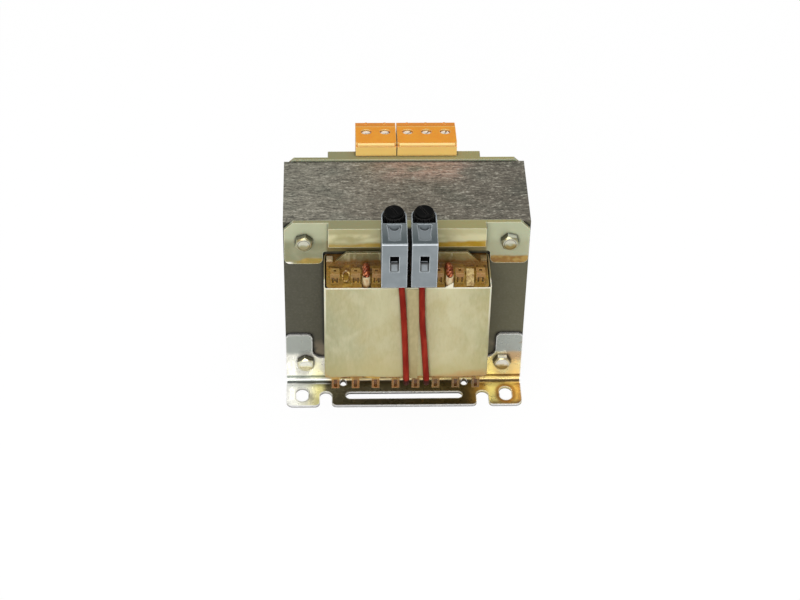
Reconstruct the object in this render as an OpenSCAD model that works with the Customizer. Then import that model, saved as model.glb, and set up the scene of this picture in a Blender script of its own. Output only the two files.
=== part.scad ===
// Laminated chassis transformer: interleaved E and I laminations clamped by four through
// bolts, a moulded bobbin with its windings, two moulded terminal carriers, two folded sheet
// brackets, a pair of fuse terminals at the front and orange terminal blocks at the rear.
// X runs to the right, Y to the rear and Z up. The origin is the bottom centre, on the
// underside of the mounting feet.

/* [Core] */
// Width of each outer leg of the laminations
outer_leg_w = 20; // [18:0.5:26]
// Width of the centre leg
centre_leg_w = 40; // [36:1:48]
// Width of each winding window
window_w = 20; // [18:0.5:26]
// Height of each winding window
window_h = 60; // [56:1:80]
// Height of each yoke
yoke_h = 20; // [18:0.5:26]
// Depth of the lamination stack
stack_d = 48; // [40:1:70]
// Number of interleaved packets
packets = 16; // [8:2:24]
// Bore for each insulated clamp bolt
core_bore_d = 7; // [6.8:0.1:8]
// Distance from the side edge of the core to each bolt
bolt_inset = 10; // [8:0.5:12]

/* [Clamp bolts] */
// Thread diameter of the clamp bolts
bolt_d = 5; // [4:0.5:5.5]
// Width across flats of the heads and nuts
hex_af = 8; // [7:0.5:9]
// Height of the bolt heads
head_h = 3.5; // [2.5:0.5:5]
// Height of the nuts
nut_h = 4; // [3:0.5:5]
// Length of thread past each nut
bolt_end = 1.5; // [0.5:0.5:4]
// Outside diameter of the washers under the nuts
washer_d = 10; // [9:0.5:12]
// Thickness of the washers
washer_t = 1; // [0.6:0.2:1.6]
// Wall of the insulating sleeve round each bolt
sleeve_wall = 0.8; // [0.4:0.1:0.8]
// Clearance of the bolts in the carriers and brackets
bolt_clear = 0.5; // [0.3:0.1:1]

/* [Mounting brackets] */
// Thickness of the bracket sheet
sheet_t = 1.5; // [1:0.1:2]
// Inside radius of the fold
fold_r = 3; // [2:0.5:4]
// Height of the core above the mounting surface
core_lift = 5.4; // [5:0.2:9]
// Reach of each foot from the core's face
foot_reach = 19.5; // [18.5:0.5:26]
// Width of each upright ear
ear_w = 13.4; // [12:0.2:17]
// Height of the ears above the underside of the core
ear_rise = 27.8; // [22:0.2:34]
// Height of the web between the ears above the underside of the core
web_rise = 12.2; // [9:0.2:14]
// Corner radius of the ears
ear_r = 2.5; // [1:0.5:4]
// Fillet between ear and web
web_r = 5; // [2:0.5:6]
// Corner radius of the feet
foot_r = 3.5; // [1:0.5:4]
// Distance of each fixing slot from the middle
slot_x = 52; // [51:0.5:53]
// Distance of the fixing slots from the core's face
slot_y = 11.5; // [11:0.5:13]
// Width of the fixing slots
slot_w = 6.3; // [4.5:0.1:6.5]
// Length of the fixing slots
slot_l = 10; // [8:0.5:11]
// Distance of each open notch from the middle
notch_x = 40; // [38:0.5:41]
// Width of the open notches
notch_w = 6.2; // [4.5:0.1:6.6]
// Depth of the open notches
notch_l = 10.2; // [6:0.2:11]
// Corner radius at the mouth of a notch
notch_r = 2.5; // [0.5:0.5:3]
// Length of the long slot
long_slot_l = 59.6; // [40:0.2:64]
// Width of the long slot
long_slot_w = 4.9; // [3:0.1:6]
// Distance of the long slot from the core's face
long_slot_y = 12.3; // [11:0.1:14]
// Distance of each small hole from the middle
pilot_x = 31; // [26:0.5:34]
// Distance of the small holes from the core's face
pilot_y = 3.5; // [3.5:0.1:5]
// Diameter of the small holes
pilot_d = 3.3; // [2:0.1:3.6]

/* [Terminal carriers] */
// Thickness of the carrier plate
plate_t = 2; // [1.6:0.1:3]
// Height of the carrier above the core
plate_over = 1.1; // [0:0.1:2]
// Inset of the carrier from the side edges of the core
plate_inset = 0.4; // [0:0.1:1]
// Chamfer of the upper corners
plate_chamfer = 4.5; // [2:0.5:6]
// Depth of the bar below the top of the core
bar_drop = 16.6; // [15:0.2:17]
// Depth of the legs below the top of the core
leg_drop = 24.5; // [21:0.5:30]
// Width of each leg
leg_w = 18.7; // [16:0.1:19]
// Corner radius at the bottom of the legs
leg_r = 3; // [1:0.5:5]
// Half width of the raised rail
rail_hw = 38.2; // [37:0.2:39]
// Depth of the raised rail in front of the core
rail_d = 6.8; // [5:0.1:8]
// Height of the raised rail
rail_h = 11.4; // [10:0.2:12]
// Wall of the hollow rail
rail_wall = 1.8; // [1.2:0.1:2.2]
// Number of cross ribs inside the rail
rail_ribs = 5; // [1:2:9]

/* [Bobbin] */
// Clearance of the bobbin round the centre leg and in the windows
coil_gap = 0.3; // [0.2:0.05:0.4]
// Wall of the bobbin tube
tube_wall = 1.6; // [1:0.1:2.4]
// Thickness of the flanges
flange_t = 2.2; // [1.6:0.1:3]
// Reach of the coil from the core's face
coil_reach = 25.8; // [25:0.1:28]
// Pitch of the terminal pockets
pocket_pitch = 10; // [9:0.1:10]
// Width of an upper pocket
pocket_w = 4.3; // [3:0.1:5]
// Depth of a pocket
pocket_d = 4.2; // [3:0.1:5]
// Height of an upper pocket
pocket_h = 6.3; // [5:0.1:6.6]
// Height of a lower pocket
low_pocket_h = 6.8; // [4:0.1:8]
// Width of a lower pocket
low_pocket_w = 3.8; // [3:0.1:4.5]
// Ledge in front of the upper pockets
ledge = 3.1; // [2:0.1:3.6]
// Distance of the standing wall from the core's face
wall_y = 6; // [5:0.1:7]
// Thickness of the standing wall
wall_t = 1.4; // [1:0.1:2]
// Half width of the standing wall at its foot
wall_hw = 35; // [32:0.5:37]
// Chamfer at the top corners of the standing wall
wall_chamfer = 5.6; // [3:0.1:6]

/* [Windings] */
// Build of the primary winding at the sides
primary_build = 8; // [4:0.5:8.5]
// Thickness of the insulation between the windings
layer_t = 0.6; // [0.3:0.1:1]
// Thickness of the outer wrap
wrap_t = 0.5; // [0.3:0.1:0.8]
// How much wider the coil is in front of the core than inside the window
coil_bulge = 0.7; // [0:0.1:1]
// Width of the tape over the seam of the wrap
tape_w = 6; // [4:0.5:8]
// Thickness of the tape
tape_t = 0.2; // [0.1:0.05:0.3]

/* [Fuse terminals] */
// Width of each fuse terminal
fuse_body_w = 12.2; // [12:0.1:13]
// Gap between the two fuse terminals
fuse_body_gap = 2.1; // [1.5:0.1:2.5]
// Offset of the pair of fuse terminals from the middle
fuse_shift = 0.3; // [-0.5:0.1:1]
// Reach of the fuse terminals from the core's face
fuse_reach = 29.6; // [29.6:0.1:31]
// Height of the terminals' top above the core
fuse_top = 12.4; // [11:0.1:14]
// Distance of the fuse's axis from the core's face
fuse_axis = 10.9; // [10.9:0.1:11.1]
// Diameter of the cartridge fuse
fuse_d = 5.2; // [5:0.1:5.2]
// Length of the cartridge fuse
fuse_l = 20; // [18:0.5:20]
// Largest diameter of the fuse cap
cap_d = 10.4; // [9.8:0.1:10.4]
// Height of the cap above the terminal
cap_rise = 3.3; // [3:0.1:6]
// Width of the wire pocket in the front
pocket_front_w = 4.4; // [4.2:0.1:6]
// Height of the wire pocket in the front
pocket_front_h = 10; // [9:0.5:10.5]

/* [Terminal blocks] */
// Pitch of the poles
pole_pitch = 9.45; // [9:0.05:10]
// End wall added to the row of poles
block_end = 1.4; // [1:0.1:2]
// Position of the left end of the two-pole block
block_left = -24.2; // [-26:0.1:-20]
// Gap between the two blocks
block_gap = 0.5; // [0.3:0.1:1]
// Distance of the blocks' inner wall from the core's face
block_y = 2.9; // [2:0.1:4]
// Depth of the blocks
block_d = 23.2; // [21:0.1:25]
// Height of the inner wall above the carrier
block_wall_h = 7.6; // [6:0.1:9]
// Fall of the sloping top from front to rear
block_fall = 3.4; // [2:0.1:5]
// Depth of the blocks below the top of the carrier
block_drop = 13; // [12:0.5:15]
// Diameter of the screwdriver holes
driver_d = 5.4; // [5:0.1:5.6]
// Diameter of the round wire entries
entry_d = 5; // [4:0.1:5.2]

/* [Leads] */
// Diameter of the red leads
lead_d = 3; // [2.6:0.1:3]
// Number of sides of the leads
lead_sides = 10; // [8:1:12]
// Diameter of each bare copper strand
strand_d = 1.3; // [1:0.1:1.4]

/* [Hidden] */
$fn = 48;
cut = 1;
fit = 0.1;

// Core
core_w = centre_leg_w + 2 * window_w + 2 * outer_leg_w;
core_h = window_h + 2 * yoke_h;
core_top = core_lift + core_h;
face = stack_d / 2;
packet_t = stack_d / packets;
leg_x = centre_leg_w / 2;
window_x = leg_x + window_w;
window_z0 = core_lift + yoke_h;
window_z1 = window_z0 + window_h;
bolt_x = core_w / 2 - bolt_inset;
bolt_z = [core_lift + yoke_h / 2, core_top - yoke_h / 2];

// Bolts
sleeve_id = bolt_d + 2 * fit;
sleeve_od = min(sleeve_id + 2 * sleeve_wall, core_bore_d - 2 * fit);
plate_bore_d = bolt_d + bolt_clear;
head_turn = [[37, 0], [20, 45]];

// Carriers
plate_hw = core_w / 2 - plate_inset;
plate_top = core_top + plate_over;
rail_front = face + rail_d;
rail_z0 = plate_top - rail_h;
rail_r = 0.6;
rib_t = 1.2;
inner_r = 1.6;

// Bobbin and windings
tube_hx = leg_x + coil_gap + tube_wall;
tube_hy = face + coil_gap + tube_wall;
coil_z0 = window_z0 + coil_gap;
coil_z1 = window_z1 - coil_gap;
wind_z0 = coil_z0 + flange_t;
wind_z1 = coil_z1 - flange_t;
coil_hx = window_x - coil_gap;
coil_hy = face + coil_reach;
coil_r = 2.5;
flange_r = 2;
tube_r = 1.5;
root = 0.2;
bulge_in = 0.6;
bulge_y = face + bulge_in;
primary_r = 4;
tape_x = 2.7;
tape_inset = 0.6;
flange_hx = coil_hx - wrap_t - fit;
flange_hy = coil_hy - wrap_t - fit;
// Pockets on each side of the middle: as many as the flange holds
pockets = floor((flange_hx - pocket_w / 2) / pocket_pitch + 0.5);
wind_hx = coil_hx - wrap_t - fit;
wind_hy = coil_hy - wrap_t - fit;
build_ratio = (wind_hy - tube_hy) / (wind_hx - tube_hx);
primary = [tube_hx + primary_build, tube_hy + primary_build * build_ratio, primary_r];
block_front = flange_hy - ledge;
sleeve_d = 3.7;
strip_w = 3.6;
strip_l = 8.4;
lead_notch_w = 4.4;
lead_notch_x = pocket_pitch * 2;
lead_notch_d = 4;
strip_t = 0.5;
strip_in = 0.6;
strip_lean = 48;
strip_x = 3 * pocket_pitch;
sleeve_rise = 3;
sleeve_gap = 0.6;

// Fuse terminals
fuse_x = (fuse_body_w + fuse_body_gap) / 2;
fuse_face = face + fuse_reach;
fuse_z2 = core_top + fuse_top;
shelf_drop = 2;
fuse_shelf_z = fuse_z2 - shelf_drop;
foot_gap = 1.3;
foot_rise = 4;
fuse_z1 = coil_z1 + pocket_h + foot_gap;
fuse_z0 = coil_z1 + foot_rise;
fuse_y = face + fuse_axis;
slope_l = 5.1;
slope_out = 6;
slope_y0 = fuse_y + slope_out;
slope_y1 = slope_y0 + slope_l;
well_wall = 0.6;
well_d = 5;
well_floor = fuse_z2 - well_d;
stem_d = 8;
fuse_proud = 1.2;
fuse_base = fuse_z2 + fuse_proud - fuse_l;
bore_drop = 3.4;
fuse_hole_z = core_top - bore_drop;
contact_t = 1.5;
front_driver_d = 4;
driver_out = 7.9;
driver_y = fuse_y + driver_out;
clamp_w = 7;
clamp_out = 5.7;
clamp_l = 7.6;
clamp_y0 = fuse_y + clamp_out;
clamp_y1 = clamp_y0 + clamp_l;
clamp_drop = 4.7;
clamp_h = 8.8;
clamp_z0 = core_top - clamp_drop;
clamp_z1 = clamp_z0 + clamp_h;
cage_wall = 1.1;
cage_roof = 1.7;
pocket_drop = 2;
front_pocket_z = core_top - pocket_drop;
front_screw_rise = 3.2;
front_head_t = 1.6;
mouth_d = 4.7;
guide_w = 5;
guide_top_w = 7.6;
guide_l = 9.7;
guide_back = 0.3;
guide_d = [1.6, 3];
guide_r = 3.2;
guide_y0 = slope_y0 + guide_back;
guide_y1 = guide_y0 + guide_l;

// Rear terminal blocks
block_y0 = face + block_y;
block_y1 = block_y0 + block_d;
block_top = plate_top + block_wall_h;
block_z0 = plate_top - block_drop;
block_w2 = 2 * pole_pitch + block_end;
block_w3 = 3 * pole_pitch + block_end;
block_x3 = block_left + block_w2 + block_gap;
shelf_l = 4.8;
shelf_y = block_y1 - shelf_l;
pole_in = 12.6;
pole_y = block_y0 + pole_in;
cage_front = 4.5;
cage_rear = 5;
cage_y0 = pole_y - cage_front;
cage_y1 = pole_y + cage_rear;
cage_w = 7.2;
screw_d = 3;
pole_screw_rise = 6.2;
pole_head_t = 2;
tag_w = 3;
tag_t = 0.8;
tag_l = 4;
cage_floor = 1.6;
cage_h = 9.6;
cage_z0 = block_z0 + cage_floor;
cage_z1 = cage_z0 + cage_h;
entry_z = (cage_z0 + cage_z1) / 2;
poles = concat(
    [for (i = [0:1]) block_left + block_end / 2 + (i + 0.5) * pole_pitch],
    [for (i = [0:2]) block_x3 + block_end / 2 + (i + 0.5) * pole_pitch]
);

// Routes of the leads, from the fuse terminals down the coil and back under its edge
lead_seat = 4;
lead_y = coil_hy + tape_t + lead_d / 2 + fit;
lead_turn_r = 2.4;
lead_low_z = coil_z0 - lead_turn_r;
lead_in = 10;
lead_end_y = coil_hy - lead_in;
left_x = [-3.3, -2.5, -1.6, -0.9, -0.3, 0.1, 0.2];
right_x = [6.6, 6.8, 7.3, 8.4, 9.4, 10.1, 10.2];
lead_share = [0.9, 0.66, 0.43, 0.2, 0.03, 0];
lead_z = concat([fuse_z0], [for (t = lead_share) coil_z0 + t * (coil_z1 - coil_z0)]);
lead_tuck = [[0.7, 1.7], [2.4, lead_turn_r], [5, lead_turn_r]];
// Bends of the copper lead-outs: distance in from the flange's edge, and height above it
out_bend = [[2, 1], [2.6, 4], [5.6, 6], [10, 5.6], [13.6, 3.6], [14.4, 1.2]];
out_route = concat(
    [[0, flange_hy - out_bend[0][0], wind_z1 + fit / 2]],
    [for (b = out_bend) [0, flange_hy - b[0], coil_z1 + b[1]]],
    [[0, flange_hy - out_bend[5][0], coil_z1 + fit / 2]]
);
out_sides = 8;
out_turn = 720;

// ---------------------------------------------------------------- helpers

// Rounded rectangle about the origin, from its half sizes
module rounded(hx, hy, r) {
    square([2 * hx, 2 * (hy - r)], center = true);
    square([2 * (hx - r), 2 * hy], center = true);
    for (sx = [-1, 1], sy = [-1, 1])
        translate([sx * (hx - r), sy * (hy - r)]) circle(r);
}

// Slot with round ends, its length along Y
module slot_2d(w, l) {
    square([w, l - w], center = true);
    for (s = [-1, 1])
        translate([0, s * (l - w) / 2]) circle(d = w);
}

// Fills an inside corner at the origin, towards +X and +Y
module fillet_2d(r) {
    difference() {
        square(r);
        translate([r, r]) circle(r);
    }
}

// Extrudes a shape drawn in X and Z along Y, from y0 to y1
module along_y(y0, y1) {
    translate([0, y1, 0]) rotate([90, 0, 0]) linear_extrude(y1 - y0) children();
}

// Extrudes a shape drawn in Y and Z along X, from x0 to x1
module along_x(x0, x1) {
    translate([x0, 0, 0]) rotate([90, 0, 90]) linear_extrude(x1 - x0) children();
}

// Box from its lowest to its highest corner
module box(a, b) {
    translate(a) cube(b - a);
}

// Repeats a shape at the four bolts, with the axis at the origin along Y
module at_bolts() {
    for (sx = [0, 1], sz = [0, 1])
        translate([(2 * sx - 1) * bolt_x, 0, bolt_z[sz]]) children();
}

// Thickness of what each bolt clamps against the core: bracket below, carrier above
function clamp_t(sz) = sz == 0 ? sheet_t : plate_t;

function unit(v) = v / norm(v);

// Point on a smooth curve through the route, at parameter t
function on_route(p, t) =
    let (n = len(p) - 1, i = min(floor(t), n - 1), u = t - i,
         a = p[max(i - 1, 0)], b = p[i], c = p[i + 1], d = p[min(i + 2, n)])
    0.5 * (2 * b + (c - a) * u + (2 * a - 5 * b + 4 * c - d) * u * u
        + (3 * b - a - 3 * c + d) * u * u * u);

function route_dir(p, t) =
    let (n = len(p) - 1)
    unit(on_route(p, min(t + 0.02, n)) - on_route(p, max(t - 0.02, 0)));

// Ring of points round the route; the route never runs along X
function route_ring(p, t, r, sides, offset_r, turn) =
    let (d = route_dir(p, t), a = unit([1, 0, 0] - d[0] * d), b = cross(d, a),
         o = on_route(p, t) + offset_r * (cos(turn) * a + sin(turn) * b))
    [for (k = [0:sides - 1]) o + r * (cos(360 * k / sides) * a + sin(360 * k / sides) * b)];

// Route of a red lead that passes the heights in lead_z at the given X positions
function lead_route(x) =
    let (last = x[len(x) - 1])
    concat([[x[0], lead_y, fuse_z0 + lead_seat - fit / 2]],
           [for (i = [0:len(x) - 1]) [x[i], lead_y, lead_z[i]]],
           [for (t = lead_tuck) [last, lead_y - t[0], coil_z0 - t[1]]],
           [[last, lead_end_y + fit / 2, lead_low_z]]);

// Tube swept along a route, with flat ends
module swept(p, r, sides, steps, offset_r = 0, twist = 0, phase = 0) {
    n = (len(p) - 1) * steps;
    rings = [for (i = [0:n])
        route_ring(p, i / steps, r, sides, offset_r, phase + twist * i / n)];
    faces = concat(
        [[for (k = [0:sides - 1]) k]],
        [for (i = [0:n - 1], k = [0:sides - 1])
            [i * sides + k, (i + 1) * sides + k,
             (i + 1) * sides + (k + 1) % sides, i * sides + (k + 1) % sides]],
        [[for (k = [sides - 1:-1:0]) n * sides + k]]
    );
    polyhedron([for (ring = rings, q = ring) q], faces, convexity = 4);
}

// Mirrors a front piece to the rear
module at_rear() {
    mirror([0, 1, 0]) children();
}

// ---------------------------------------------------------------- laminations

// One E lamination in X and Z, its yoke at the bottom
module e_shape() {
    difference() {
        translate([-core_w / 2, core_lift]) square([core_w, yoke_h + window_h]);
        for (s = [-1, 1])
            translate([s * (leg_x + window_w / 2), window_z0 + window_h / 2])
                square([window_w, window_h], center = true);
        for (s = [-1, 1])
            translate([s * bolt_x, bolt_z[0]]) circle(d = core_bore_d);
    }
}

// One I lamination in X and Z, lying across the top of the legs
module i_shape() {
    difference() {
        translate([-core_w / 2, window_z1]) square([core_w, yoke_h]);
        for (s = [-1, 1])
            translate([s * bolt_x, bolt_z[1]]) circle(d = core_bore_d);
    }
}

// Turns every second packet upside down about the middle of the core
module packets_of() {
    for (i = [0:packets - 1]) {
        y = -face + i * packet_t;
        if (i % 2 == 0)
            along_y(y, y + packet_t) children();
        else
            along_y(y, y + packet_t)
                translate([0, 2 * core_lift + core_h]) mirror([0, 1]) children();
    }
}

module core_e_laminations() {
    color([0.42, 0.41, 0.37]) packets_of() e_shape();
}

module core_i_laminations() {
    color([0.46, 0.45, 0.41]) packets_of() i_shape();
}

// ---------------------------------------------------------------- clamp bolts

// Hexagon across flats, standing along +Z
module hex_prism(h) {
    cylinder(d = hex_af / cos(30), h = h, $fn = 6);
}

module bolt_head(turn) {
    chamfer_h = 0.28 * head_h;
    rotate([90, 0, 0]) rotate(turn) intersection() {
        hex_prism(head_h);
        union() {
            cylinder(d = hex_af / cos(30) + cut, h = head_h - chamfer_h);
            translate([0, 0, head_h - chamfer_h])
                cylinder(d1 = hex_af / cos(30), d2 = 0.84 * hex_af, h = chamfer_h);
        }
    }
}

module clamp_bolts() {
    color([0.78, 0.78, 0.74])
    for (sx = [0, 1], sz = [0, 1]) {
        seat = face + clamp_t(sz);
        translate([(2 * sx - 1) * bolt_x, 0, bolt_z[sz]]) {
            translate([0, -seat, 0]) bolt_head(head_turn[sz][sx]);
            translate([0, seat + washer_t + nut_h + bolt_end, 0]) rotate([90, 0, 0])
                cylinder(d = bolt_d, h = 2 * seat + washer_t + nut_h + bolt_end);
        }
    }
}

module bolt_sleeves() {
    color([0.85, 0.78, 0.6])
    at_bolts() translate([0, face, 0]) rotate([90, 0, 0]) difference() {
        cylinder(d = sleeve_od, h = stack_d);
        translate([0, 0, -cut]) cylinder(d = sleeve_id, h = stack_d + 2 * cut);
    }
}

module nut_washers() {
    color([0.75, 0.75, 0.72])
    for (sx = [-1, 1], sz = [0, 1])
        translate([sx * bolt_x, face + clamp_t(sz) + washer_t, bolt_z[sz]])
            rotate([90, 0, 0]) difference() {
                cylinder(d = washer_d, h = washer_t);
                translate([0, 0, -cut]) cylinder(d = bolt_d + 2 * fit, h = washer_t + 2 * cut);
            }
}

module clamp_nuts() {
    color([0.78, 0.78, 0.74])
    for (sx = [-1, 1], sz = [0, 1])
        translate([sx * bolt_x, face + clamp_t(sz) + washer_t + nut_h, bolt_z[sz]])
            rotate([90, 0, 0]) difference() {
                hex_prism(nut_h);
                translate([0, 0, -cut]) cylinder(d = bolt_d + fit, h = nut_h + 2 * cut);
            }
}

// ---------------------------------------------------------------- mounting brackets

// Section of the folded sheet in Y and Z, on the front of the core
module fold_section() {
    centre = [-face - sheet_t - fold_r, sheet_t + fold_r];
    translate([-face - sheet_t, centre[1]]) square([sheet_t, core_lift + ear_rise - centre[1]]);
    translate([-face - foot_reach, 0]) square([foot_reach + face + centre[0], sheet_t]);
    translate(centre) intersection() {
        difference() {
            circle(fold_r + sheet_t);
            circle(fold_r);
        }
        translate([0, -fold_r - sheet_t]) square(fold_r + sheet_t);
    }
}

// Outline of the upright part in X and Z
module upright_outline() {
    web_z = core_lift + web_rise;
    ear_z = core_lift + ear_rise;
    translate([-core_w / 2, 0]) square([core_w, web_z]);
    for (s = [0, 1]) mirror([s, 0]) {
        translate([core_w / 2 - ear_w / 2, ear_z / 2]) rounded(ear_w / 2, ear_z / 2, ear_r);
        translate([core_w / 2 - ear_w, web_z]) mirror([1, 0]) fillet_2d(web_r);
    }
}

// Outline of the foot in X and Y, with rounded corners and two open notches
module foot_outline() {
    y0 = -face - foot_reach;
    difference() {
        union() {
            translate([-core_w / 2, y0 + foot_r]) square([core_w, foot_reach - foot_r]);
            translate([-core_w / 2 + foot_r, y0]) square([core_w - 2 * foot_r, foot_reach]);
            for (s = [-1, 1])
                translate([s * (core_w / 2 - foot_r), y0 + foot_r]) circle(foot_r);
        }
        for (s = [-1, 1]) {
            translate([s * notch_x, y0]) {
                slot_2d(notch_w, 2 * notch_l);
                for (t = [0, 1]) mirror([t, 0]) translate([notch_w / 2, 0]) fillet_2d(notch_r);
            }
            translate([s * slot_x, -face - slot_y]) slot_2d(slot_w, slot_l);
            translate([s * pilot_x, -face - pilot_y]) circle(d = pilot_d);
        }
        translate([0, -face - long_slot_y]) rotate(90) slot_2d(long_slot_w, long_slot_l);
    }
}

module mounting_bracket() {
    difference() {
        intersection() {
            along_x(-core_w / 2, core_w / 2) fold_section();
            along_y(-face - foot_reach - cut, 0) upright_outline();
            translate([0, 0, -cut]) linear_extrude(core_lift + ear_rise + 2 * cut) foot_outline();
        }
        for (s = [-1, 1])
            translate([s * bolt_x, 0, bolt_z[0]]) rotate([90, 0, 0])
                cylinder(d = plate_bore_d, h = face + foot_reach);
    }
}

module front_mounting_bracket() {
    color([0.72, 0.68, 0.52]) mounting_bracket();
}

module rear_mounting_bracket() {
    color([0.72, 0.68, 0.52]) at_rear() mounting_bracket();
}

// ---------------------------------------------------------------- terminal carriers

// Outline of the carrier in X and Z: a bar with a leg at each side
module carrier_outline() {
    bar_z = core_top - bar_drop;
    leg_z = core_top - leg_drop;
    leg_x0 = plate_hw - leg_w;
    polygon([[-plate_hw, bar_z], [plate_hw, bar_z], [plate_hw, plate_top - plate_chamfer],
             [plate_hw - plate_chamfer, plate_top], [plate_chamfer - plate_hw, plate_top],
             [-plate_hw, plate_top - plate_chamfer]]);
    for (s = [0, 1]) mirror([s, 0]) {
        translate([leg_x0 + leg_w / 2, (leg_z + bar_z + 2 * leg_r) / 2])
            rounded(leg_w / 2, (bar_z - leg_z + 2 * leg_r) / 2, leg_r);
        translate([leg_x0, bar_z]) mirror([1, 0]) mirror([0, 1]) fillet_2d(inner_r);
    }
}

module carrier() {
    rail_in = rail_hw - rail_wall;
    rib_pitch = 2 * rail_in / (rail_ribs + 1);
    difference() {
        union() {
            along_y(-face - plate_t, -face) carrier_outline();
            along_y(-rail_front, -face)
                translate([0, rail_z0 + rail_h / 2]) rounded(rail_hw, rail_h / 2, rail_r);
        }
        // The rail is hollow from behind, with cross ribs left standing
        for (i = [0:rail_ribs])
            box([i * rib_pitch + rib_t / 2 - rail_in, rail_wall - rail_front, rail_z0 + rail_wall],
                [(i + 1) * rib_pitch - rib_t / 2 - rail_in, cut - face, plate_top - rail_wall]);
        for (s = [-1, 1])
            translate([s * bolt_x, 0, bolt_z[1]]) rotate([90, 0, 0])
                cylinder(d = plate_bore_d, h = face + plate_t + cut);
    }
}

module front_terminal_carrier() {
    color([0.76, 0.76, 0.62]) carrier();
}

module rear_terminal_carrier() {
    color([0.76, 0.76, 0.62]) at_rear() carrier();
}

// ---------------------------------------------------------------- bobbin and windings

// Upper pocket, its front at Y = 0 and its foot at Z = 0
module upper_pocket() {
    slit = [0.9, 1.4];
    sill = 0.6;
    lintel = 2.4;
    eye = [1.4, 1.5, 1];
    eye_y = 1.8;
    difference() {
        box([-pocket_w / 2, 0, -root], [pocket_w / 2, pocket_d, pocket_h]);
        for (s = [-1, 1])
            box([s * pocket_w / 4 - slit[0] / 2, -cut, sill],
                [s * pocket_w / 4 + slit[0] / 2, slit[1], pocket_h - lintel]);
        box([-eye[0] / 2, eye_y, pocket_h - eye[2]], [eye[0] / 2, eye_y + eye[1], pocket_h + cut]);
    }
}

// Lower pocket, hanging below Z = 0, with a U-shaped recess in its front
module lower_pocket() {
    u_w = 1.8;
    u_d = 1.2;
    u_low = low_pocket_h - 1.4;
    u_top = 1;
    difference() {
        box([-low_pocket_w / 2, 0, -low_pocket_h], [low_pocket_w / 2, pocket_d, root]);
        box([-u_w / 2, -cut, -u_low], [u_w / 2, u_d, -u_top]);
        translate([0, u_d, -u_low]) rotate([90, 0, 0]) cylinder(d = u_w, h = u_d + cut);
    }
}

module flange_outline() {
    difference() {
        rounded(flange_hx, flange_hy, flange_r);
        square([2 * (leg_x + coil_gap), 2 * (face + coil_gap)], center = true);
    }
}

// What the front half of the bobbin carries on its flanges
module flange_fittings() {
    wall_foot = 0.7;
    lug = [3, 3, 1.6];
    lug_in = 1.5;
    lug_y = 4.3;
    stop_w = 3.6;
    stop_t = 2;
    stop_low = 1.4;
    for (s = [-1, 1], i = [1:pockets]) {
        x = s * (i - 0.5) * pocket_pitch;
        translate([x, -block_front, coil_z1]) upper_pocket();
        translate([x, -flange_hy, coil_z0]) lower_pocket();
    }
    // Standing wall between the core and the pockets
    along_y(-face - wall_y - wall_t / 2, -face - wall_y + wall_t / 2)
        polygon([[-wall_hw, coil_z1 - root], [wall_hw, coil_z1 - root],
                 [wall_hw, coil_z1 + wall_foot], [wall_hw - wall_chamfer, coil_z1 + pocket_h],
                 [wall_chamfer - wall_hw, coil_z1 + pocket_h], [-wall_hw, coil_z1 + wall_foot]]);
    // Small lug at each corner, beside the wall
    for (s = [-1, 1])
        translate([s * (flange_hx - lug_in), -face - lug_y, coil_z1 + lug[2] / 2 - root])
            cube(lug, center = true);
    // Stops under the lower flange that the red leads end on
    for (x = [left_x[6], right_x[6]])
        box([x - stop_w / 2, -lead_end_y, lead_low_z - stop_low],
            [x + stop_w / 2, stop_t - lead_end_y, coil_z0 + root]);
}

module bobbin() {
    color([0.66, 0.5, 0.3]) difference() {
        union() {
            translate([0, 0, coil_z0]) linear_extrude(coil_z1 - coil_z0) difference() {
                rounded(tube_hx, tube_hy, tube_r);
                square([2 * (leg_x + coil_gap), 2 * (face + coil_gap)], center = true);
            }
            for (z = [coil_z0, coil_z1 - flange_t])
                translate([0, 0, z]) linear_extrude(flange_t) flange_outline();
            flange_fittings();
            at_rear() flange_fittings();
        }
        // Open notches in the upper flange for the lead-outs
        for (sx = [-1, 1], sy = [-1, 1])
            translate([sx * lead_notch_x, sy * (flange_hy - lead_notch_d / 2 + cut / 2), coil_z1])
                cube([lead_notch_w, lead_notch_d + cut, 2 * flange_t + cut], center = true);
    }
}

// Ring of winding between two rounded rectangles, given by their half sizes and corner radii
module winding_ring(inner, outer) {
    translate([0, 0, wind_z0 + fit]) linear_extrude(wind_z1 - wind_z0 - fit) difference() {
        rounded(outer[0], outer[1], outer[2]);
        rounded(inner[0], inner[1], inner[2]);
    }
}

// Half sizes and corner radius grown by t
function grown(a, t) = [a[0] + t, a[1] + t, a[2] + t];

module primary_winding() {
    color([0.7, 0.36, 0.18])
        winding_ring(grown([tube_hx, tube_hy, tube_r], fit), primary);
}

module interlayer_insulation() {
    color([0.9, 0.85, 0.7])
        winding_ring(grown(primary, fit), grown(primary, fit + layer_t));
}

module secondary_winding() {
    color([0.72, 0.38, 0.2])
        winding_ring(grown(primary, layer_t + 2 * fit), [wind_hx, wind_hy, coil_r]);
}

// Plan of the wrap: narrow inside the windows, a little wider in front and behind
module wrap_plan(hx, hy, step) {
    rounded(hx, hy, coil_r);
    for (s = [-1, 1])
        translate([0, s * (hy + step) / 2]) rounded(hx + coil_bulge, (hy - step) / 2, coil_r);
}

module outer_wrap() {
    color([0.76, 0.73, 0.58])
    translate([0, 0, coil_z0]) linear_extrude(coil_z1 - coil_z0) difference() {
        wrap_plan(coil_hx, coil_hy, bulge_y);
        wrap_plan(coil_hx - wrap_t, coil_hy - wrap_t, bulge_y + wrap_t);
    }
}

module wrap_tape() {
    color([0.72, 0.68, 0.5])
        box([tape_x - tape_w / 2, -coil_hy - tape_t, coil_z0 + tape_inset],
            [tape_x + tape_w / 2, -coil_hy, coil_z1 - tape_inset]);
}

// ---------------------------------------------------------------- fuse terminals

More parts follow.
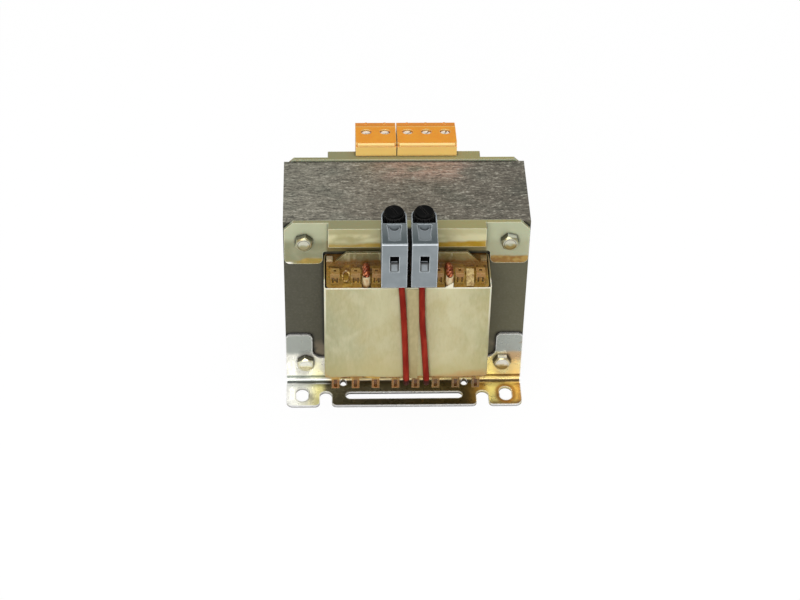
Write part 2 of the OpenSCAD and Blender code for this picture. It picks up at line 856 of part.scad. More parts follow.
// Side view of a fuse terminal in Y and Z
module fuse_profile() {
    nose = 0.6;
    lip = 1;
    rear = cut - fuse_y + fuse_body_w / 2;
    polygon([
        [-fuse_face, fuse_z0], [-fuse_face, fuse_shelf_z - nose], [nose - fuse_face, fuse_shelf_z],
        [-slope_y1, fuse_shelf_z], [-slope_y0, fuse_z2], [rear, fuse_z2], [rear, plate_top + fit],
        [-rail_front - fit, plate_top + fit], [-rail_front - fit, fuse_z1],
        [-block_front - lip, fuse_z1], [-block_front - lip, fuse_z0]
    ]);
}

// Plan in X and Y: round behind the fuse's axis, straight sides in front of it up to front_y
module fuse_plan(r, front_y) {
    translate([0, -fuse_y]) circle(r);
    translate([-r, -front_y]) square([2 * r, front_y - fuse_y]);
}

// Wire pocket in Y and Z, with a ramp that leads up to the clamp
module front_pocket_profile() {
    top = front_pocket_z + pocket_front_h / 2;
    low = front_pocket_z - pocket_front_h / 2;
    ramp_y = 3;
    ramp_z = clamp_z0 + cage_wall;
    polygon([[-fuse_face - cut, top], [-clamp_y1, top], [-clamp_y1, ramp_z],
             [ramp_y - fuse_face, ramp_z], [-fuse_face, low], [-fuse_face - cut, low]]);
}

// Sunk guide for the screwdriver, with tapered sides, a sloping floor and a round front
module driver_guide() {
    top = fuse_z2 + cut;
    low = fuse_z2 - guide_d[1];
    intersection() {
        along_x(-guide_top_w, guide_top_w)
            polygon([[-guide_y0, top], [-guide_y0, fuse_z2 - guide_d[0]], [-guide_y1, low],
                     [-guide_y1, top]]);
        along_y(-guide_y1, -guide_y0)
            polygon([[-guide_w / 2, low], [guide_w / 2, low], [guide_top_w / 2, top],
                     [-guide_top_w / 2, top]]);
        translate([0, 0, low]) linear_extrude(top - low) {
            translate([0, guide_r - guide_y1]) circle(guide_r);
            translate([-guide_top_w, guide_r - guide_y1]) square([2 * guide_top_w, guide_l]);
        }
    }
}

// One fuse terminal about its own middle plane, with its lead at lead_x
module fuse_terminal(lead_x) {
    difference() {
        intersection() {
            along_x(-fuse_body_w / 2, fuse_body_w / 2) fuse_profile();
            translate([0, 0, fuse_z0 - cut]) linear_extrude(fuse_z2 - fuse_z0 + 2 * cut)
                fuse_plan(fuse_body_w / 2, fuse_face + cut);
        }
        // Well for the cap, and the bore for the cap's stem and the fuse
        translate([0, 0, well_floor]) linear_extrude(fuse_z2 - well_floor + cut)
            fuse_plan(fuse_body_w / 2 - well_wall, slope_y0 - well_wall);
        translate([0, -fuse_y, 0]) {
            translate([0, 0, fuse_hole_z])
                cylinder(d = stem_d + 4 * fit, h = well_floor + cut - fuse_hole_z);
            translate([0, 0, fuse_base - contact_t]) cylinder(d = fuse_d + 6 * fit, h = fuse_l);
        }
        // Screwdriver hole, round below and half round where it opens into the guide
        translate([0, -driver_y, clamp_z0])
            cylinder(d = front_driver_d, h = well_floor - clamp_z0);
        intersection() {
            translate([0, -guide_y0, well_floor - fit]) cylinder(d = mouth_d, h = well_d);
            box([-mouth_d, -guide_y1, fuse_z0], [mouth_d, -guide_y0, fuse_z2 + cut]);
        }
        driver_guide();
        // Chamber for the wire clamp
        box([-clamp_w / 2 - fit, -clamp_y1, clamp_z0], [clamp_w / 2 + fit, -clamp_y0, clamp_z1]);
        along_x(-pocket_front_w / 2, pocket_front_w / 2) front_pocket_profile();
        // Passage for the red lead
        translate([lead_x, -lead_y, fuse_z0 - cut])
            cylinder(d = lead_d + 2 * fit, h = lead_seat + cut);
    }
}

module fuse_terminal_left() {
    color([0.58, 0.6, 0.63]) translate([fuse_shift - fuse_x, 0, 0])
        fuse_terminal(left_x[0] - fuse_shift + fuse_x);
}

module fuse_terminal_right() {
    color([0.58, 0.6, 0.63]) translate([fuse_shift + fuse_x, 0, 0])
        fuse_terminal(right_x[0] - fuse_shift - fuse_x);
}

// Screw cap that holds the upper end of the fuse, about its own axis
module fuse_cap() {
    top = fuse_z2 + cap_rise;
    crown_d = cap_d - 1.2;
    edge = 0.4;
    grip_z = fuse_z2 - 1.4;
    grip_h = 2.9;
    grip_n = 14;
    groove_d = 1.3;
    groove_out = 0.2;
    slot = [6.6, 1, 1.6];
    slot_turn = -62;
    stem_z = fuse_hole_z + 3;
    seat_z = fuse_hole_z + 2;
    difference() {
        union() {
            translate([0, 0, stem_z]) cylinder(d = stem_d, h = well_floor - stem_z);
            translate([0, 0, well_floor]) cylinder(d = crown_d, h = top - edge - well_floor);
            translate([0, 0, grip_z]) cylinder(d = cap_d, h = grip_h);
            translate([0, 0, top - edge]) cylinder(d1 = crown_d, d2 = crown_d - 2 * edge, h = edge);
        }
        // Seat for the end of the fuse
        translate([0, 0, seat_z]) cylinder(d = fuse_d + 2 * fit, h = fuse_base + fuse_l - seat_z);
        rotate(slot_turn) translate([0, 0, top + cut - slot[2]])
            translate([-slot[0] / 2, -slot[1] / 2, 0]) cube(slot);
        for (k = [0:grip_n - 1])
            rotate(360 * k / grip_n + 8) translate([cap_d / 2 + groove_out, 0, grip_z - cut / 2])
                cylinder(d = groove_d, h = grip_h + cut);
    }
}

module fuse_cap_left() {
    color([0.09, 0.09, 0.09]) translate([fuse_shift - fuse_x, -fuse_y, 0]) fuse_cap();
}

module fuse_cap_right() {
    color([0.09, 0.09, 0.09]) translate([fuse_shift + fuse_x, -fuse_y, 0]) fuse_cap();
}

// Cartridge fuse: a glass tube between two metal ends
module cartridge_fuse() {
    end_l = 5;
    end_t = 0.25;
    translate([0, 0, fuse_base]) {
        cylinder(d = fuse_d - 2 * end_t, h = fuse_l);
        cylinder(d = fuse_d, h = end_l);
        translate([0, 0, fuse_l - end_l]) cylinder(d = fuse_d, h = end_l);
    }
}

module fuse_left() {
    color([0.8, 0.85, 0.85]) translate([fuse_shift - fuse_x, -fuse_y, 0]) cartridge_fuse();
}

module fuse_right() {
    color([0.8, 0.85, 0.85]) translate([fuse_shift + fuse_x, -fuse_y, 0]) cartridge_fuse();
}

// Contact disc under each fuse
module fuse_contacts() {
    color([0.8, 0.68, 0.35])
    for (s = [-1, 1])
        translate([fuse_shift + s * fuse_x, -fuse_y, fuse_base - contact_t])
            cylinder(d = fuse_d, h = contact_t);
}

// Clamp cage with a square throat along Y, about its own middle plane
module wire_cage(y0, y1, z0, z1, w, screw_y, screw_d) {
    difference() {
        box([-w / 2, y0, z0], [w / 2, y1, z1]);
        box([cage_wall - w / 2, y0 - cut, z0 + cage_wall], [w / 2 - cage_wall, y1 + cut, z1 - cage_roof]);
        translate([0, screw_y, z0 + cage_wall]) cylinder(d = screw_d + fit, h = z1 - z0);
    }
}

module fuse_wire_clamps() {
    color([0.8, 0.8, 0.76])
    for (s = [-1, 1])
        translate([fuse_shift + s * fuse_x, 0, 0])
            wire_cage(fit - clamp_y1, -clamp_y0 - fit, clamp_z0, clamp_z1 - fit,
                      clamp_w, -driver_y, screw_d);
}

// Slotted screw, its head's top at Z = 0
module slotted_screw(head_d, shank_d, head_t, reach) {
    difference() {
        union() {
            translate([0, 0, -head_t]) cylinder(d = head_d, h = head_t);
            translate([0, 0, -reach]) cylinder(d = shank_d, h = reach - head_t + fit);
        }
        cube([head_d + cut, 0.16 * head_d, 0.9 * head_t], center = true);
    }
}

module fuse_wire_screws() {
    color([0.82, 0.82, 0.78])
    for (s = [-1, 1])
        translate([fuse_shift + s * fuse_x, -driver_y, clamp_z1 + front_screw_rise])
            rotate(20 * s)
                slotted_screw(front_driver_d - 3 * fit, screw_d - fit, front_head_t,
                              front_screw_rise + cage_roof - fit);
}

// ---------------------------------------------------------------- terminal blocks

// Side view of a terminal block in Y and Z
module block_profile() {
    fall_at = block_fall * (shelf_y - block_y0) / block_d;
    nose = [0.6, 0.8];
    step = [0.3, 0.7];
    bead_z = 1.7;
    bead_r = 0.35;
    difference() {
        polygon([
            [block_y0, plate_top + fit / 2], [block_y0, block_top - nose[1]],
            [block_y0 + nose[0], block_top], [shelf_y, block_top - fall_at],
            [shelf_y + step[0], block_top - fall_at - step[1]],
            [block_y1, block_top - block_fall - step[1]], [block_y1, block_z0],
            [rail_front + fit, block_z0], [rail_front + fit, plate_top + fit / 2]
        ]);
        translate([block_y0, block_top - bead_z]) circle(bead_r);
    }
}

// Terminal block that starts at x0 and holds the poles listed
module terminal_block(x0, w, pole_list) {
    pip = [2, 1.4];
    notch_d = 2;
    notch_in = 0.4;
    difference() {
        union() {
            along_x(x0, x0 + w) block_profile();
            // Small pip on the outer shelf at each pole
            for (x = pole_list)
                translate([x, block_y1 - pip[0], block_top - block_fall - pip[0] / 2])
                    rotate([-90, 0, 0]) cylinder(d = pip[0], h = pip[1]);
        }
        // Round notch at each end of the upper front edge
        for (x = [x0, x0 + w])
            translate([x, block_y0 + notch_in, block_top - notch_d])
                cylinder(d = notch_d, h = notch_d + cut);
        for (x = pole_list) {
            translate([x, pole_y, cage_z1 - cut]) cylinder(d = driver_d, h = block_top);
            box([x - cage_w / 2 - fit, cage_y0 - fit, cage_z0 - fit],
                [x + cage_w / 2 + fit, cage_y1 + fit, cage_z1 + fit]);
            translate([x, block_y1 + cut, entry_z]) rotate([90, 0, 0])
                cylinder(d = entry_d, h = block_y1 - cage_y1 + cut);
            box([x - tag_w / 2 - fit, cage_y0 - fit, block_z0 - cut],
                [x + tag_w / 2 + fit, cage_y0 + tag_t + 2 * fit, cage_z0]);
        }
    }
}

module terminal_block_2_pole() {
    color([0.95, 0.62, 0.2]) terminal_block(block_left, block_w2, [poles[0], poles[1]]);
}

module terminal_block_3_pole() {
    color([0.95, 0.62, 0.2]) terminal_block(block_x3, block_w3, [poles[2], poles[3], poles[4]]);
}

module terminal_screws() {
    color([0.85, 0.85, 0.82])
    for (i = [0:4])
        translate([poles[i], pole_y, cage_z1 + pole_screw_rise]) rotate(12 + 15 * i)
            slotted_screw(driver_d - 4 * fit, screw_d - fit, pole_head_t,
                          pole_screw_rise + cage_roof + 4 * fit);
}

// Clamp cages, each with a solder tag that comes out below the block
module terminal_clamps() {
    color([0.8, 0.8, 0.76])
    for (x = poles) translate([x, 0, 0]) {
        wire_cage(cage_y0, cage_y1, cage_z0, cage_z1, cage_w, pole_y, screw_d);
        box([-tag_w / 2, cage_y0, block_z0 - tag_l], [tag_w / 2, cage_y0 + tag_t, cage_z0]);
    }
}

// ---------------------------------------------------------------- leads

module red_lead_left() {
    color([0.66, 0.2, 0.16]) at_rear() swept(lead_route(left_x), lead_d / 2, lead_sides, 3);
}

module red_lead_right() {
    color([0.66, 0.2, 0.16]) at_rear() swept(lead_route(right_x), lead_d / 2, lead_sides, 3);
}

// Two bare strands twisted together
module copper_lead_out() {
    at_rear() for (k = [0, 1])
        swept(out_route, strand_d / 2, out_sides, 6, strand_d / 2 + 0.02, out_turn, 180 * k);
}

module copper_lead_out_left() {
    color([0.7, 0.34, 0.18]) translate([-lead_notch_x, 0, 0]) copper_lead_out();
}

module copper_lead_out_right() {
    color([0.7, 0.34, 0.18]) translate([lead_notch_x, 0, 0]) copper_lead_out();
}

// Paper sleeve round the foot of each lead-out
module lead_sleeves() {
    color([0.88, 0.84, 0.7])
    for (s = [-1, 1])
        translate([s * lead_notch_x, out_bend[0][0] - flange_hy, wind_z1]) difference() {
            cylinder(d = sleeve_d, h = flange_t + sleeve_rise);
            translate([0, 0, -cut])
                cylinder(d = sleeve_d - sleeve_gap, h = flange_t + sleeve_rise + 2 * cut);
        }
}

// Folded end of the layer insulation, standing between two pockets
module insulation_strip() {
    color([0.88, 0.84, 0.7])
        translate([strip_x, strip_in - flange_hy, coil_z1 + fit + strip_t * sin(strip_lean)])
            rotate([-strip_lean, 0, 0]) translate([-strip_w / 2, 0, 0])
                cube([strip_w, strip_t, strip_l]);
}

// ---------------------------------------------------------------- drawing

core_e_laminations();
core_i_laminations();
bobbin();
primary_winding();
interlayer_insulation();
secondary_winding();
outer_wrap();
wrap_tape();
front_terminal_carrier();
rear_terminal_carrier();
front_mounting_bracket();
rear_mounting_bracket();
clamp_bolts();
bolt_sleeves();
nut_washers();
clamp_nuts();
terminal_block_2_pole();
terminal_block_3_pole();
terminal_screws();
terminal_clamps();
fuse_terminal_left();
fuse_terminal_right();
fuse_cap_left();
fuse_cap_right();
fuse_left();
fuse_right();
fuse_contacts();
fuse_wire_clamps();
fuse_wire_screws();
red_lead_left();
red_lead_right();
copper_lead_out_left();
copper_lead_out_right();
lead_sleeves();
insulation_strip();
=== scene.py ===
import math

import bmesh
import bpy
from bpy.props import FloatProperty, FloatVectorProperty, PointerProperty
from bpy.types import Operator, Panel, PropertyGroup
from mathutils import Matrix, Vector


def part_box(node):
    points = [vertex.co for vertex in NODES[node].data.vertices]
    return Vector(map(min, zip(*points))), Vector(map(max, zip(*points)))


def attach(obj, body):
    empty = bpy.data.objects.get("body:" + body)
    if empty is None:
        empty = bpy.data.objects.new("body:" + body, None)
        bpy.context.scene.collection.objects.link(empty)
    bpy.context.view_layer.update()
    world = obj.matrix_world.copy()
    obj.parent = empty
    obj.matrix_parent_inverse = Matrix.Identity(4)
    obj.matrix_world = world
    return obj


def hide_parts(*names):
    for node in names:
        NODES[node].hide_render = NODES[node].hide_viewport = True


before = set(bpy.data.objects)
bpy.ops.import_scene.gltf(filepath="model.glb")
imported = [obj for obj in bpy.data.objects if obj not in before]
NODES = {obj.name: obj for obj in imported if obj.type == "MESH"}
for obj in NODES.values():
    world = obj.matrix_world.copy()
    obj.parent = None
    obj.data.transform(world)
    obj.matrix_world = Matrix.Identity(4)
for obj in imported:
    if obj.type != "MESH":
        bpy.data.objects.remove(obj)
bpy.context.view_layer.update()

bl_info = {
    "name": "Laminated Chassis Transformer",
    "version": (1, 0, 0),
    "blender": (4, 5, 0),
    "location": "View3D > Sidebar > Transformer",
    "description": "Finishes and stage for a laminated transformer on folded sheet feet",
    "category": "Object",
}

MM = 0.001
FUSE_TERMINALS = ("fuse_terminal_left", "fuse_terminal_right")
# Places in the CAD, in millimetres
BOLT_ASIDE, BOLT_LOW, BOLT_RISE = 50.0, 15.4, 80.0
SLOT_ASIDE, SLOT_BACK, SLOT_HALF_RUN = 52.0, 35.5, 1.85
WEB_FACE, FOLD_HEIGHT = 25.5, 6.0
LEAD_OUT_ASIDE, LEAD_OUT_BACK = 20.0, 47.2


def tone(red, green, blue):
    """Linear colour from the red, green and blue that a screen shows, 0 to 255."""
    out = []
    for value in (red, green, blue):
        v = value / 255
        out.append(v / 12.92 if v <= 0.04045 else ((v + 0.055) / 1.055) ** 2.4)
    return tuple(out)


def linear(colour):
    """Linear colour and alpha, from a setting or from a tuple of what a screen shows."""
    return (tone(*colour) if isinstance(colour, tuple) else tuple(colour)) + (1.0,)


def colour_prop(name, description, rgb):
    return FloatVectorProperty(
        name=name, description=description, subtype="COLOR", size=3, min=0, max=1,
        default=tone(*rgb))


def length_prop(name, description, millimetres, low=0.0, high=100.0):
    return FloatProperty(
        name=name, description=description, subtype="DISTANCE", unit="LENGTH",
        default=millimetres * MM, min=low * MM, max=high * MM, precision=5)


def share_prop(name, description, value):
    return FloatProperty(
        name=name, description=description, subtype="FACTOR", default=value, min=0, max=1)


# ---------------------------------------------------------------- settings


class CoreSettings(PropertyGroup):
    # The three edge colours darken from left to right as painted shade
    edge_colour: colour_prop("Edges, left", "Cut edges of the sheets", (133, 133, 119))
    middle_colour: colour_prop("Edges, middle", "Cut edges of the sheets", (119, 115, 101))
    right_colour: colour_prop("Edges, right", "Cut edges of the sheets", (103, 101, 89))
    # Painted reflection of the orange blocks: a pinkish tint on the core's top at the rear
    block_reflection_colour: colour_prop("Tint", "Pinkish tint at the rear", (174, 147, 131))
    # The right of the face is painted lighter, as painted light
    face_colour: colour_prop("Face, left", "Varnished flat of the outer sheets", (77, 75, 61))
    face_right: colour_prop("Face, right", "Varnished flat of the outer sheets", (93, 90, 68))
    sheet_t: length_prop("Sheet thickness", "Pitch of the sheet edges", 0.5, 0.2, 2)
    speckle: share_prop("Speckle", "Strength of the mottling on the edges", 0.7)


class CoilSettings(PropertyGroup):
    wrap_colour: colour_prop("Wrap colour", "Outer wrap of the coil", (176, 168, 127))
    warm_colour: colour_prop("Warm patches", "Warmer patches in the wrap", (176, 163, 114))
    # Also used for the painted highlight down the wrap's front corners
    edge_colour: colour_prop("Paper edge", "Cut edge of the wrap", (244, 240, 218))
    stain_colour: colour_prop("Varnish stain", "Varnish soaked into the wrap", (176, 134, 70))
    wire_d: length_prop("Wire diameter", "Wire of the windings", 0.9, 0.2, 3)
    lead_colour: colour_prop("Lead colour", "Insulation of the two leads", (120, 20, 6))
    copper_colour: colour_prop("Copper colour", "Enamelled copper", (178, 92, 44))
    paper_colour: colour_prop("Paper colour", "Sleeves and strips of paper", (214, 196, 150))


class PlasticSettings(PropertyGroup):
    carrier_colour: colour_prop("Carrier", "Upper part of the carriers", (176, 180, 148))
    leg_low: colour_prop("Left leg", "Lower part of the left leg", (136, 136, 102))
    leg_right: colour_prop("Right leg", "Lower part of the right leg", (166, 167, 134))
    rail_colour: colour_prop("Rail, left", "Raised rail of the carriers", (171, 165, 119))
    rail_right: colour_prop("Rail, right", "Raised rail of the carriers", (188, 183, 138))
    amber_colour: colour_prop("Amber varnish", "Varnish in the lower edges", (172, 136, 42))
    bobbin_colour: colour_prop("Bobbin", "Moulded bobbin", (140, 100, 34))
    bobbin_dark: colour_prop("Bobbin, dark", "Varnish in the bobbin's corners", (90, 60, 18))
    block_colour: colour_prop("Blocks", "Orange terminal blocks", (255, 168, 30))
    # Paler orange of the front faces, painted as lit
    block_lit_front: colour_prop("Blocks, front", "Front of the terminal blocks", (255, 212, 120))
    fuse_colour: colour_prop("Fuse terminals", "Grey fuse terminals", (121, 129, 133))
    # Darker upper faces, painted as shade
    fuse_top_shade: colour_prop("Fuse terminals, top", "Upper faces", (76, 86, 88))
    cap_colour: colour_prop("Caps", "Black fuse caps", (5, 5, 5))
    edge_round: length_prop("Edge rounding", "Rounding of moulded edges", 0.25, 0.05, 1)


class MetalSettings(PropertyGroup):
    zinc_colour: colour_prop("Zinc", "Bright part of the brackets", (248, 247, 236))
    gold_colour: colour_prop("Yellow zinc", "Yellow part of the brackets", (250, 234, 170))
    # Lower bolts are painted brighter than the upper ones, as painted light on the same plating
    bolt_colour: colour_prop("Lower bolts", "Bolts and washers at the feet", (244, 242, 208))
    bolt_upper: colour_prop("Upper bolts", "Bolts through the carriers", (170, 169, 136))
    nickel_colour: colour_prop("Nickel", "Screws and clamps", (226, 222, 212))
    brass_colour: colour_prop("Brass", "Fuse contacts", (206, 168, 96))
    edge_round: length_prop("Edge rounding", "Rounding of sheared edges", 0.2, 0.05, 1)


class StageSettings(PropertyGroup):
    eye: FloatVectorProperty(
        name="Camera place", description="Where the camera stands", subtype="XYZ",
        unit="LENGTH", size=3, default=(-0.03613, -0.80336, 0.73868))
    heading: FloatProperty(
        name="Heading", description="Turn of the camera to the right", subtype="ANGLE",
        default=math.radians(2.461))
    tilt: FloatProperty(
        name="Tilt", description="Camera's angle below the horizon", subtype="ANGLE",
        default=math.radians(41.222))
    roll: FloatProperty(
        name="Roll", description="Roll of the camera", subtype="ANGLE",
        default=math.radians(1.254))
    lens: FloatProperty(
        name="Lens", description="Focal length in millimetres on a 36 mm sensor", default=93.63)
    key_power: FloatProperty(
        name="Front light", description="Soft light in front", unit="POWER", default=18.6, min=0)
    top_power: FloatProperty(
        name="Top light", description="Soft light above", unit="POWER", default=8.6, min=0)
    world_level: FloatProperty(
        name="Surrounding light", description="Strength of the even light", default=0.3, min=0)
    floor_size: FloatProperty(
        name="Floor", description="Side of the floor", unit="LENGTH", default=6, min=0.5)


class TransformerSettings(PropertyGroup):
    core: PointerProperty(type=CoreSettings)
    coil: PointerProperty(type=CoilSettings)
    plastic: PointerProperty(type=PlasticSettings)
    metal: PointerProperty(type=MetalSettings)
    stage: PointerProperty(type=StageSettings)


# ---------------------------------------------------------------- material building


def set_up(thing, **options):
    """Sets several of a thing's values."""
    for key, value in options.items():
        setattr(thing, key, value)
    return thing


def add_object(name, data):
    obj = bpy.data.objects.new(name, data)
    bpy.context.scene.collection.objects.link(obj)
    return obj


def feed(tree, socket, value):
    """Links or sets a socket. A tuple for a colour is what a screen shows, 0 to 255."""
    if isinstance(value, bpy.types.NodeSocket):
        tree.links.new(value, socket)
    else:
        socket.default_value = linear(value) if socket.type == "RGBA" else value


def add_node(tree, kind, sockets=None, **options):
    """Makes a node, and feeds its sockets by name or number."""
    made = set_up(tree.nodes.new(kind), **options)
    for key, value in (sockets or {}).items():
        feed(tree, made.inputs[key], value)
    return made


class Finish:
    """One procedural material. Lengths are millimetres in the transformer's own frame."""

    def __init__(self, name, rough=0.5, metal=0.0, **sockets):
        self.mat = bpy.data.materials.new(name)
        self.mat.use_nodes = True
        self.tree = self.mat.node_tree
        self.shader = self.tree.nodes["Principled BSDF"]
        for key, value in {"Roughness": rough, "Metallic": metal, **sockets}.items():
            self.shader.inputs[key.replace("_", " ")].default_value = value
        place = self.node("ShaderNodeTexCoord").outputs["Object"]
        self.place = self.node("ShaderNodeVectorMath", {0: place, "Scale": 1 / MM},
                               operation="SCALE").outputs[0]
        self.colour = None
        self.normal = None
        self.split = {}

    def node(self, kind, sockets=None, **options):
        return add_node(self.tree, kind, sockets, **options)

    def noise(self, size, detail=2.0, stretch=(1, 1, 1), seed=0.0, rough=0.5, warp=0.0):
        """Noise from 0 to 1 whose blobs are about size millimetres."""
        fit = self.node("ShaderNodeMapping", {
            "Vector": self.place, "Location": (seed * 7.3, seed * 3.1, seed * 5.7),
            "Scale": tuple(1 / (size * s) for s in stretch)})
        made = self.node("ShaderNodeTexNoise", {
            "Vector": fit.outputs[0], "Scale": 1.0, "Detail": detail, "Roughness": rough,
            "Distortion": warp})
        return made.outputs["Fac"]

    def component(self, kind, output, axis):
        """One component of a vector, which is split only once."""
        if output not in self.split:
            source = self.place if kind is None else self.node(kind).outputs[output]
            self.split[output] = self.node("ShaderNodeSeparateXYZ", {0: source}).outputs
        return self.split[output][axis]

    def along(self, axis):
        """Position along X, Y or Z in millimetres."""
        return self.component(None, "place", axis)

    def off(self, axis):
        """Distance in millimetres from the middle plane across X, Y or Z."""
        return self.calc("ABSOLUTE", self.along(axis))

    def facing(self, axis):
        """Component of the surface's own direction along X, Y or Z."""
        return self.component("ShaderNodeNewGeometry", "True Normal", axis)

    def flat_on(self, axis):
        """1 where the surface looks along X, Y or Z, either way, and 0 where it runs along it."""
        return self.calc("ABSOLUTE", self.facing(axis))

    def calc(self, operation, a, b=0.0, clamp=False):
        return self.node("ShaderNodeMath", {0: a, 1: b}, operation=operation,
                         use_clamp=clamp).outputs[0]

    def times(self, product, *shares):
        for share in shares:
            product = self.calc("MULTIPLY", product, share)
        return product

    def plus(self, a, b, clamp=False):
        return self.calc("ADD", a, b, clamp)

    def less(self, a, b, clamp=False):
        return self.calc("SUBTRACT", a, b, clamp)

    def length(self, a, b):
        """Length of the diagonal over two sides."""
        return self.calc("SQRT", self.plus(self.times(a, a), self.times(b, b)))

    def ramp(self, value, low, high, bottom=0.0, top=1.0):
        """Smooth step of value between low and high, which may also fall."""
        return self.node("ShaderNodeMapRange", dict(enumerate((value, low, high, bottom, top))),
                         interpolation_type="SMOOTHSTEP").outputs[0]

    def step(self, axis, low, high, bottom=0.0, top=1.0):
        """Smooth step of the position along an axis."""
        return self.ramp(self.along(axis), low, high, bottom, top)

    def band(self, axis, low, high, soft):
        """1 between low and high along an axis, with soft ends."""
        return self.times(self.step(axis, low - soft, low + soft),
                          self.step(axis, high - soft, high + soft, 1.0, 0.0))

    def patches(self, low, high, size, detail=2.0, **options):
        """1 where noise is above high, 0 where it is below low."""
        return self.ramp(self.noise(size, detail, **options), low, high)

    def drift(self, noise, reach):
        """Distance that noise adds or takes away, reach from end to end."""
        return self.times(self.less(noise, 0.5), reach)

    def blend(self, share, a, b):
        return self.node("ShaderNodeMix", {0: share, 6: a, 7: b}, data_type="RGBA").outputs[2]

    def sweep(self, start, end, left, right):
        """Colour that changes from one place to another along X."""
        return self.blend(self.step(0, start, end), left, right)

    def over(self, base, colour, *shares):
        """Colour laid over a base by the product of the shares."""
        return self.blend(self.times(*shares), base, colour)

    def paint(self, colour, *shares):
        """Lays one more colour over the finish."""
        self.colour = self.over(self.colour, colour, *shares)

    def mottle(self, first, second, low, high, size, detail=2.0, **options):
        """Starts with two colours, the second where noise is high, and gives back the noise."""
        grain = self.noise(size, detail, **options)
        self.colour = self.blend(self.ramp(grain, low, high), first, second)
        return grain

    def shades(self, value, stops):
        """Colour that runs through stops of (value, colour) in rising order."""
        low, high = stops[0][0], stops[-1][0]
        made = self.node("ShaderNodeValToRGB",
                         {0: self.calc("DIVIDE", self.less(value, low), high - low)})
        made.color_ramp.interpolation = "EASE"
        keys = made.color_ramp.elements
        while len(keys) < len(stops):
            keys.new(0.5)
        for key, (at, colour) in zip(keys, stops):
            key.position = (at - low) / (high - low)
            key.color = linear(colour)
        return made.outputs[0]

    def crevice_shade(self, reach, low=0.35, high=0.8):
        """Mask for painted shade: 1 deep in corners and gaps, 0 on open surfaces."""
        made = self.node("ShaderNodeAmbientOcclusion", {"Distance": reach * MM}, samples=6)
        return self.ramp(made.outputs["AO"], low, high, 1.0, 0.0)

    def gap_shade(self):
        """Painted shadow over the stretch between the two fuse terminals."""
        left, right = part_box(FUSE_TERMINALS[0])[1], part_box(FUSE_TERMINALS[1])[0]
        strip = self.band(0, left.x / MM - 0.3, right.x / MM + 0.3, 0.15)
        front = self.step(1, left.y / MM + 0.5, left.y / MM - 2)
        return self.times(strip, front, 0.96)

    def off_middle(self):
        """Distance in millimetres from the middle plane of the nearer fuse terminal."""
        middles = [sum(v.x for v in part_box(name)) / 2 / MM for name in FUSE_TERMINALS]
        return self.calc("MINIMUM", *(self.calc("ABSOLUTE", self.less(self.along(0), middle))
                                      for middle in middles))

    def edges(self, radius, low=0.01, high=0.14):
        """Mask for painted highlights: 1 along sharp edges, within about radius millimetres."""
        soft = self.node("ShaderNodeBevel", {"Radius": radius * MM}, samples=6).outputs[0]
        shape = self.node("ShaderNodeNewGeometry").outputs["Normal"]
        made = self.node("ShaderNodeVectorMath", {0: soft, 1: shape}, operation="DOT_PRODUCT")
        return self.ramp(self.less(1.0, made.outputs["Value"]), low, high)

    def bump(self, height, depth, strength=0.5):
        made = self.node("ShaderNodeBump", {"Strength": strength, "Distance": depth * MM,
                                            "Height": height})
        self.normal = made.outputs[0]

    def done(self, rough=None):
        for key, value in (("Base Color", self.colour), ("Roughness", rough),
                           ("Normal", self.normal)):
            if value is not None:
                feed(self.tree, self.shader.inputs[key], value)
        return self.mat


# ---------------------------------------------------------------- helpers for the pieces


def cad(name):
    if name not in NODES:
        raise RuntimeError(f"the frame has no node named {name}")
    return NODES[name]


def dress(names, material, width=None, segments=2, angle=32.0):
    """Gives CAD nodes their finish, and with a width rounds their sharp edges."""
    for name in names:
        obj = cad(name)
        obj.data.materials.clear()
        obj.data.materials.append(material)
        if width is None:
            continue
        add = obj.modifiers.new
        set_up(add("Join seams", "WELD"), merge_threshold=0.002 * MM)
        set_up(add("Join facets", "DECIMATE"), decimate_type="DISSOLVE",
               angle_limit=math.radians(0.6))
        set_up(add("Round edges", "BEVEL"), width=width, segments=segments,
               limit_method="ANGLE", angle_limit=math.radians(angle))
        set_up(add("Even shading", "WEIGHTED_NORMAL"), keep_sharp=False)


def add_piece(name, shape, material, smooth=True):
    """Makes a mesh that rides on the transformer."""
    verts, faces = shape
    mesh = bpy.data.meshes.new(name)
    mesh.from_pydata([tuple(v) for v in verts], [], faces)
    mesh.validate()
    work = bmesh.new()
    work.from_mesh(mesh)
    bmesh.ops.recalc_face_normals(work, faces=work.faces)
    work.to_mesh(mesh)
    work.free()
    for face in mesh.polygons:
        face.use_smooth = smooth
    mesh.materials.append(material)
    obj = add_object(name, mesh)
    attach(obj, "root")
    return obj


def curve_points(points, steps):
    """Smooth run of points through the given ones."""
    ends = [points[0] * 2 - points[1]] + list(points) + [points[-1] * 2 - points[-2]]
    out = []
    for i in range(1, len(ends) - 2):
        a, b, c, d = ends[i - 1:i + 3]
        for k in range(steps):
            t = k / steps
            out.append(0.5 * (2 * b + (c - a) * t + (2 * a - 5 * b + 4 * c - d) * t ** 2
                              + (3 * b - a - 3 * c + d) * t ** 3))
    return out + [points[-1]]


def turns(count):
    """Angles that part a full turn evenly."""
    return [math.tau * k / count for k in range(count)]


def shell_mesh(rings, closed=True):
    """Skin through rings of points; when closed, the last ring is joined to the first."""
    size, count = len(rings[0]), len(rings)
    faces = []
    for i in range(count if closed else count - 1):
        a, b = i * size, (i + 1) % count * size
        for k in range(size):
            n = (k + 1) % size
            faces.append((a + k, a + n, b + n, b + k))
    return [point for ring in rings for point in ring], faces


def off_path(path, angles):
    """For each point of a path, directions square to the path at the given angles."""
    side = Vector((1, 0, 0))
    for i in range(len(path)):
        ahead = (path[min(i + 1, len(path) - 1)] - path[max(i - 1, 0)]).normalized()
        side = (side - ahead * side.dot(ahead)).normalized()
        up = ahead.cross(side)
        yield [side * math.cos(a) + up * math.sin(a) for a in angles(i)]


